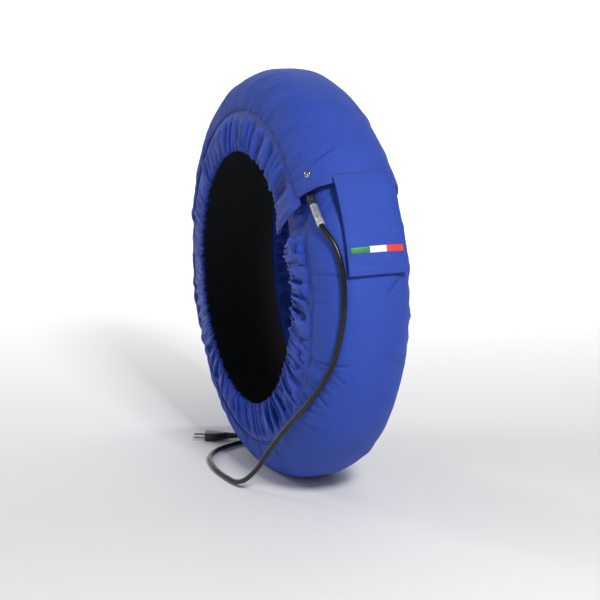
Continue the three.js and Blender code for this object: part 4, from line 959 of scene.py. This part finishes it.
def build_weave():
    """Plain weave from the flat cloth's own coordinates, with painted shade in the folds."""
    tree, into, out = make_group("plain_weave", colour=(0.1, 0.1, 0.1, 1), shadow_colour=(0.02, 0.02, 0.02, 1),
                                 threads_per_metre=1400, fold_shade=0.5, roughness=0.6)
    calc = lambda *terms: math_node(tree, *terms)
    spot = tree.nodes.new("ShaderNodeUVMap")
    spot.uv_map = "flat_cloth"
    split = tree.nodes.new("ShaderNodeSeparateXYZ")
    tree.links.new(spot.outputs[0], split.inputs[0])
    along = [calc("MULTIPLY", split.outputs[axis], into["Threads Per Metre"]) for axis in (0, 1)]
    warp, weft = (calc("ABSOLUTE", calc("SINE", calc("MULTIPLY", way, math.pi))) for way in along)
    over = calc("PINGPONG", calc("ADD", *(calc("FLOOR", way) for way in along)), 1.0)
    thread = calc("ADD", calc("MULTIPLY", warp, over), calc("MULTIPLY", weft, calc("SUBTRACT", 1.0, over)))
    place = tree.nodes.new("ShaderNodeTexCoord").outputs["Object"]
    blotch, grain = noise_node(tree, place, 26), noise_node(tree, place, 430, 2, 0.75)
    slub = noise_node(tree, spot.outputs[0], 900, 1)
    # Painted shade: where the mask is low, the colour runs towards the shadow colour.
    painted_shade_mask = tree.nodes.new("ShaderNodeAttribute")
    painted_shade_mask.attribute_name = "painted_shade_mask"
    painted_shade = calc("MULTIPLY", calc("SUBTRACT", 1.0, painted_shade_mask.outputs["Fac"]), into["Fold Shade"])
    base = mix_colour(tree, calc("POWER", painted_shade, 1.5), into["Colour"], into["Shadow Colour"])
    tone = calc("ADD", calc("MULTIPLY_ADD", blotch, 0.22, 0.84), calc("MULTIPLY_ADD", grain, 0.7, -0.35))
    tone = calc("ADD", tone, calc("MULTIPLY_ADD", thread, 0.16, -0.06))
    rough = calc("MULTIPLY_ADD", grain, 0.18, calc("SUBTRACT", into["Roughness"], 0.09))
    height = calc("MULTIPLY_ADD", grain, 0.9, calc("MULTIPLY_ADD", slub, 0.5, thread))
    bump = labelled_node(tree, "ShaderNodeBump", "Normal", Height=height, Strength=0.5, Distance=0.00035)
    return give_out(tree, out, base, tone, rough, bump)


def build_unevenness():
    """Soft blotches, fine grain and small scuffs, for any plain surface."""
    tree, into, out = make_group("fine_unevenness", colour=(0.1, 0.1, 0.1, 1), worn_colour=(0.2, 0.2, 0.2, 1),
                                 grain_scale=900, wear=0.3, roughness=0.5, bump_height=0.5)
    calc = lambda *terms: math_node(tree, *terms)
    place = tree.nodes.new("ShaderNodeTexCoord").outputs["Object"]
    grain, blotch = noise_node(tree, place, into["Grain Scale"]), noise_node(tree, place, 60, 4)
    scuff = calc("MULTIPLY", calc("SUBTRACT", noise_node(tree, place, 310, 5, 0.7), 0.52), 6.0)
    scuff = calc("MULTIPLY", calc("MAXIMUM", scuff, 0.0), into["Wear"])
    base = mix_colour(tree, calc("MINIMUM", scuff, 1.0), into["Colour"], into["Worn Colour"])
    tone = calc("MULTIPLY_ADD", blotch, 0.3, calc("MULTIPLY_ADD", grain, 0.2, 0.75))
    rough = calc("ADD", into["Roughness"], calc("MULTIPLY_ADD", blotch, 0.2, -0.1))
    rough = calc("ADD", rough, calc("MULTIPLY", scuff, 0.15))
    height = calc("MULTIPLY", grain, into["Bump Height"])
    bump = labelled_node(tree, "ShaderNodeBump", "Normal", Height=height, Strength=0.4, Distance=0.0003)
    return give_out(tree, out, base, tone, rough, bump)


WEAVE, UNEVEN = build_weave(), build_unevenness()
print("groups", WEAVE.name, UNEVEN.name)

# %% [markdown]
# ## Materials
# The cover is a dense nylon with a soft sheen. The skirts are the same colour in a lighter cloth
# that shines a little more. They, the lining and the elastic are woven, so they use the weave group
# with their own values. Every other finish is the second group with a colour and shine of its own.

# %% Finishes
# The deep blue is the painted shade laid into the folds, creases and seams of cover and skirts.
BLUE, PAINTED_SHADE_BLUE, SKIRT_BLUE = (0.031, 0.069, 0.385), (0.005, 0.012, 0.095), (0.032, 0.074, 0.47)


def finish(name, group, shine, **inputs):
    look = bpy.data.materials.new(name)
    look.use_nodes = True
    tree = look.node_tree
    shader, effect = tree.nodes["Principled BSDF"], tree.nodes.new("ShaderNodeGroup")
    effect.node_tree = group
    for node, values in ((effect, inputs), (shader, shine)):
        for label, value in values.items():
            node.inputs[socket_name(label)].default_value = (*value, 1) if isinstance(value, tuple) else value
    for given, taken in (("Colour", "Base Color"), ("Roughness", "Roughness"), ("Normal", "Normal")):
        tree.links.new(effect.outputs[given], shader.inputs[taken])
    return look


def woven(name, colour, shadow, threads, shade, rough, **shine):
    return finish(name, WEAVE, shine, colour=colour, shadow_colour=shadow, threads_per_metre=threads,
                  fold_shade=shade, roughness=rough)


def plain(name, colour, worn, scuffs, rough, bump=0.5, grain=900, **shine):
    return finish(name, UNEVEN, shine, colour=colour, worn_colour=worn, wear=scuffs, roughness=rough,
                  bump_height=bump, grain_scale=grain)


def grey(value):
    return (value, value, value)


nylon = woven("cover_nylon", BLUE, PAINTED_SHADE_BLUE, 620, 0.8, 0.66, sheen_weight=0.08, sheen_roughness=0.4,
              sheen_tint=(0.2, 0.35, 1), specular_ior_level=0.3, specular_tint=(0.5, 0.62, 1))
light_nylon = woven("skirt_nylon", SKIRT_BLUE, PAINTED_SHADE_BLUE, 900, 0.92, 0.42, specular_ior_level=0.5,
                    specular_tint=(0.22, 0.36, 1))
black_lining = woven("lining_cloth", (0.012, 0.013, 0.016), (0.005, 0.005, 0.006), 900, 0.2, 0.8, sheen_weight=0.1)
knit = woven("elastic_knit", (0.02, 0.02, 0.022), grey(0.01), 700, 0.2, 0.85)
thread = plain("sewing_thread", (0.022, 0.042, 0.26), (0.04, 0.07, 0.36), 0.2, 0.45, sheen_weight=0.3)
rubber = plain("cord_rubber", (0.005, 0.005, 0.0055), grey(0.03), 0.1, 0.27, specular_ior_level=0.35)
plug_rubber = plain("plug_rubber", (0.012, 0.012, 0.013), grey(0.05), 0.2, 0.45, 1.0, specular_ior_level=0.5)
chrome = plain("polished_metal", (0.42, 0.43, 0.45), (0.3, 0.3, 0.31), 0.15, 0.16, 0.2, metallic=1.0)
film = plain("crinkled_film", (0.5, 0.5, 0.48), grey(0.06), 0.9, 0.28, 1.0, 260, metallic=0.55, coat_weight=0.8,
             coat_roughness=0.08)
band_film = plain("band_film", (0.66, 0.67, 0.68), grey(0.25), 0.3, 0.25, 0.6, 300, metallic=0.6, coat_weight=0.8,
                  coat_roughness=0.08)
plastic = plain("tie_plastic", (0.015, 0.015, 0.016), grey(0.06), 0.2, 0.5)
strap_plastic = plain("strap_plastic", (0.03, 0.03, 0.034), grey(0.08), 0.2, 0.5)
felt = plain("needle_felt", (0.66, 0.63, 0.57), (0.55, 0.52, 0.46), 0.4, 0.9, 1.0, 1500, sheen_weight=0.3)
glass_cloth = plain("glass_cloth", (0.74, 0.7, 0.6), (0.6, 0.56, 0.48), 0.2, 0.7, grain=1200)
wire_red = plain("heating_wire", (0.4, 0.07, 0.035), (0.5, 0.12, 0.08), 0.1, 0.45)
lead_red = plain("lead_red", (0.26, 0.015, 0.012), (0.35, 0.04, 0.03), 0.1, 0.45)
lead_blue = plain("lead_blue", (0.03, 0.085, 0.32), (0.06, 0.13, 0.4), 0.1, 0.45)
metal_can = plain("thermostat_metal", (0.5, 0.51, 0.53), (0.35, 0.35, 0.36), 0.3, 0.35, metallic=1.0)
brass = plain("crimp_metal", (0.55, 0.45, 0.2), (0.4, 0.33, 0.16), 0.3, 0.35, metallic=1.0)
loop_pile = plain("loop_pile", (0.017, 0.035, 0.2), (0.03, 0.05, 0.26), 0.5, 0.9, 1.5, 2400, sheen_weight=0.6)
hook_web = plain("hook_web", (0.01, 0.022, 0.13), (0.02, 0.035, 0.18), 0.4, 0.6, 1.5, 1800)
satin = [plain(f"satin_{colour}", shade, tuple(0.8 * c for c in shade), 0.25, 0.42, 0.8, 1600, sheen_weight=0.3)
         for colour, shade in (("green", (0.008, 0.19, 0.065)), ("white", (0.8, 0.8, 0.82)),
                               ("red", (0.72, 0.035, 0.02)))]
print("finishes", len(bpy.data.materials))

# %% Dress every piece
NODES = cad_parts
LOOKS = [
    (nylon, belt_cover, tab), (light_nylon, near_skirt, far_skirt), (black_lining, lining),
    (knit, near_elastic, far_elastic), (thread, seam_thread, hem_thread, tab_thread, end_thread),
    (loop_pile, loops), (hook_web, hooks), (plug_rubber, boot, plug), (film, sleeve), (band_film, band),
    (rubber, cord), (plastic, tie), *zip(satin, bars), (felt, NODES["padding"]),
    (glass_cloth, NODES["heater_carrier"]), (wire_red, NODES["heating_wire"]), (metal_can, NODES["thermostat"]),
    (brass, NODES["thermostat_crimp"], NODES["return_crimp"]), (lead_red, NODES["thermostat_lead"]),
    (lead_blue, NODES["return_lead"]), (strap_plastic, NODES["cable_clip"]),
    (chrome, rivet, NODES["rivet_washer"], *pins)]


def wear(item, look):
    if item.material_slots:
        for slot in item.material_slots:
            slot.material = look
    else:
        item.data.materials.append(look)


for look, *items in LOOKS:
    for item in items:
        wear(item, look)
print("dressed", sum(len(row) - 1 for row in LOOKS))

# %% [markdown]
# ## Floor and light
# The ring stands on a pale floor that curves up behind it, so no line crosses the picture. The key
# lamp, high on the right, grazes the folds. Two weaker lamps at the left, one before and one behind
# the ring, lift the shadows and the edge. A fourth lights only the backdrop. A dim world does the rest.

# %% Floor, lamps and world
FLOOR_NEAR, FLOOR_FAR, BEND_RADIUS, FLOOR_HALF_WIDTH, FLOOR_DROP = -6.0, 3.0, 1.5, 9, 0.0002


def sweep_floor():
    bend = [(FLOOR_FAR + BEND_RADIUS * math.sin(t), BEND_RADIUS - BEND_RADIUS * math.cos(t))
            for t in np.linspace(0.15, math.pi / 2, 10)]
    line = [(FLOOR_NEAR, 0.0), (FLOOR_FAR, 0.0), *bend, (FLOOR_FAR + BEND_RADIUS, 7.0)]
    way = np.array([-VIEW_PLACE[0], -VIEW_PLACE[1]]) / math.hypot(*VIEW_PLACE[:2])
    side = np.array([-way[1], way[0]])
    points = [[(*(way * along + side * off), rise - FLOOR_DROP) for along, rise in line]
              for off in np.linspace(-FLOOR_HALF_WIDTH, FLOOR_HALF_WIDTH, 5)]
    floor = grid_mesh("studio_floor", np.array(points))
    return floor


def pale_floor():
    look = bpy.data.materials.new("pale_floor")
    look.use_nodes = True
    shader = look.node_tree.nodes["Principled BSDF"]
    shader.inputs["Roughness"].default_value = 0.9
    shader.inputs["Base Color"].default_value = (0.80, 0.80, 0.80, 1)
    return look


def lamp(name, place, aim, size, power):
    light = bpy.data.lights.new(name, "AREA")
    light.size, light.energy = size, power
    item = bpy.data.objects.new(name, light)
    item.location = place
    item.rotation_mode = "QUATERNION"
    item.rotation_quaternion = (Vector(aim) - Vector(place)).to_track_quat("-Z", "Y")
    bpy.context.scene.collection.objects.link(item)


wear(sweep_floor(), pale_floor())
lamp("key_lamp", (2.2, 0.0, 1.9), (0, 0, 0.3), 0.5, 60)
lamp("side_lamp", (1.3, -2.6, 1.1), (0, 0, 0.3), 1.2, 9)
lamp("rim_lamp", (-1.6, -1.7, 1.3), (0, 0, 0.35), 0.5, 11)
lamp("backdrop_lamp", (-1.0, 1.2, 3.2), (-4.5, 2.0, 1.6), 2.0, 190)
world = bpy.data.worlds.new("pale_world")
bpy.context.scene.world = world
world.use_nodes = True
world.node_tree.nodes["Background"].inputs["Color"].default_value = (1, 1, 1, 1)
world.node_tree.nodes["Background"].inputs["Strength"].default_value = 0.22
print("lamps set")
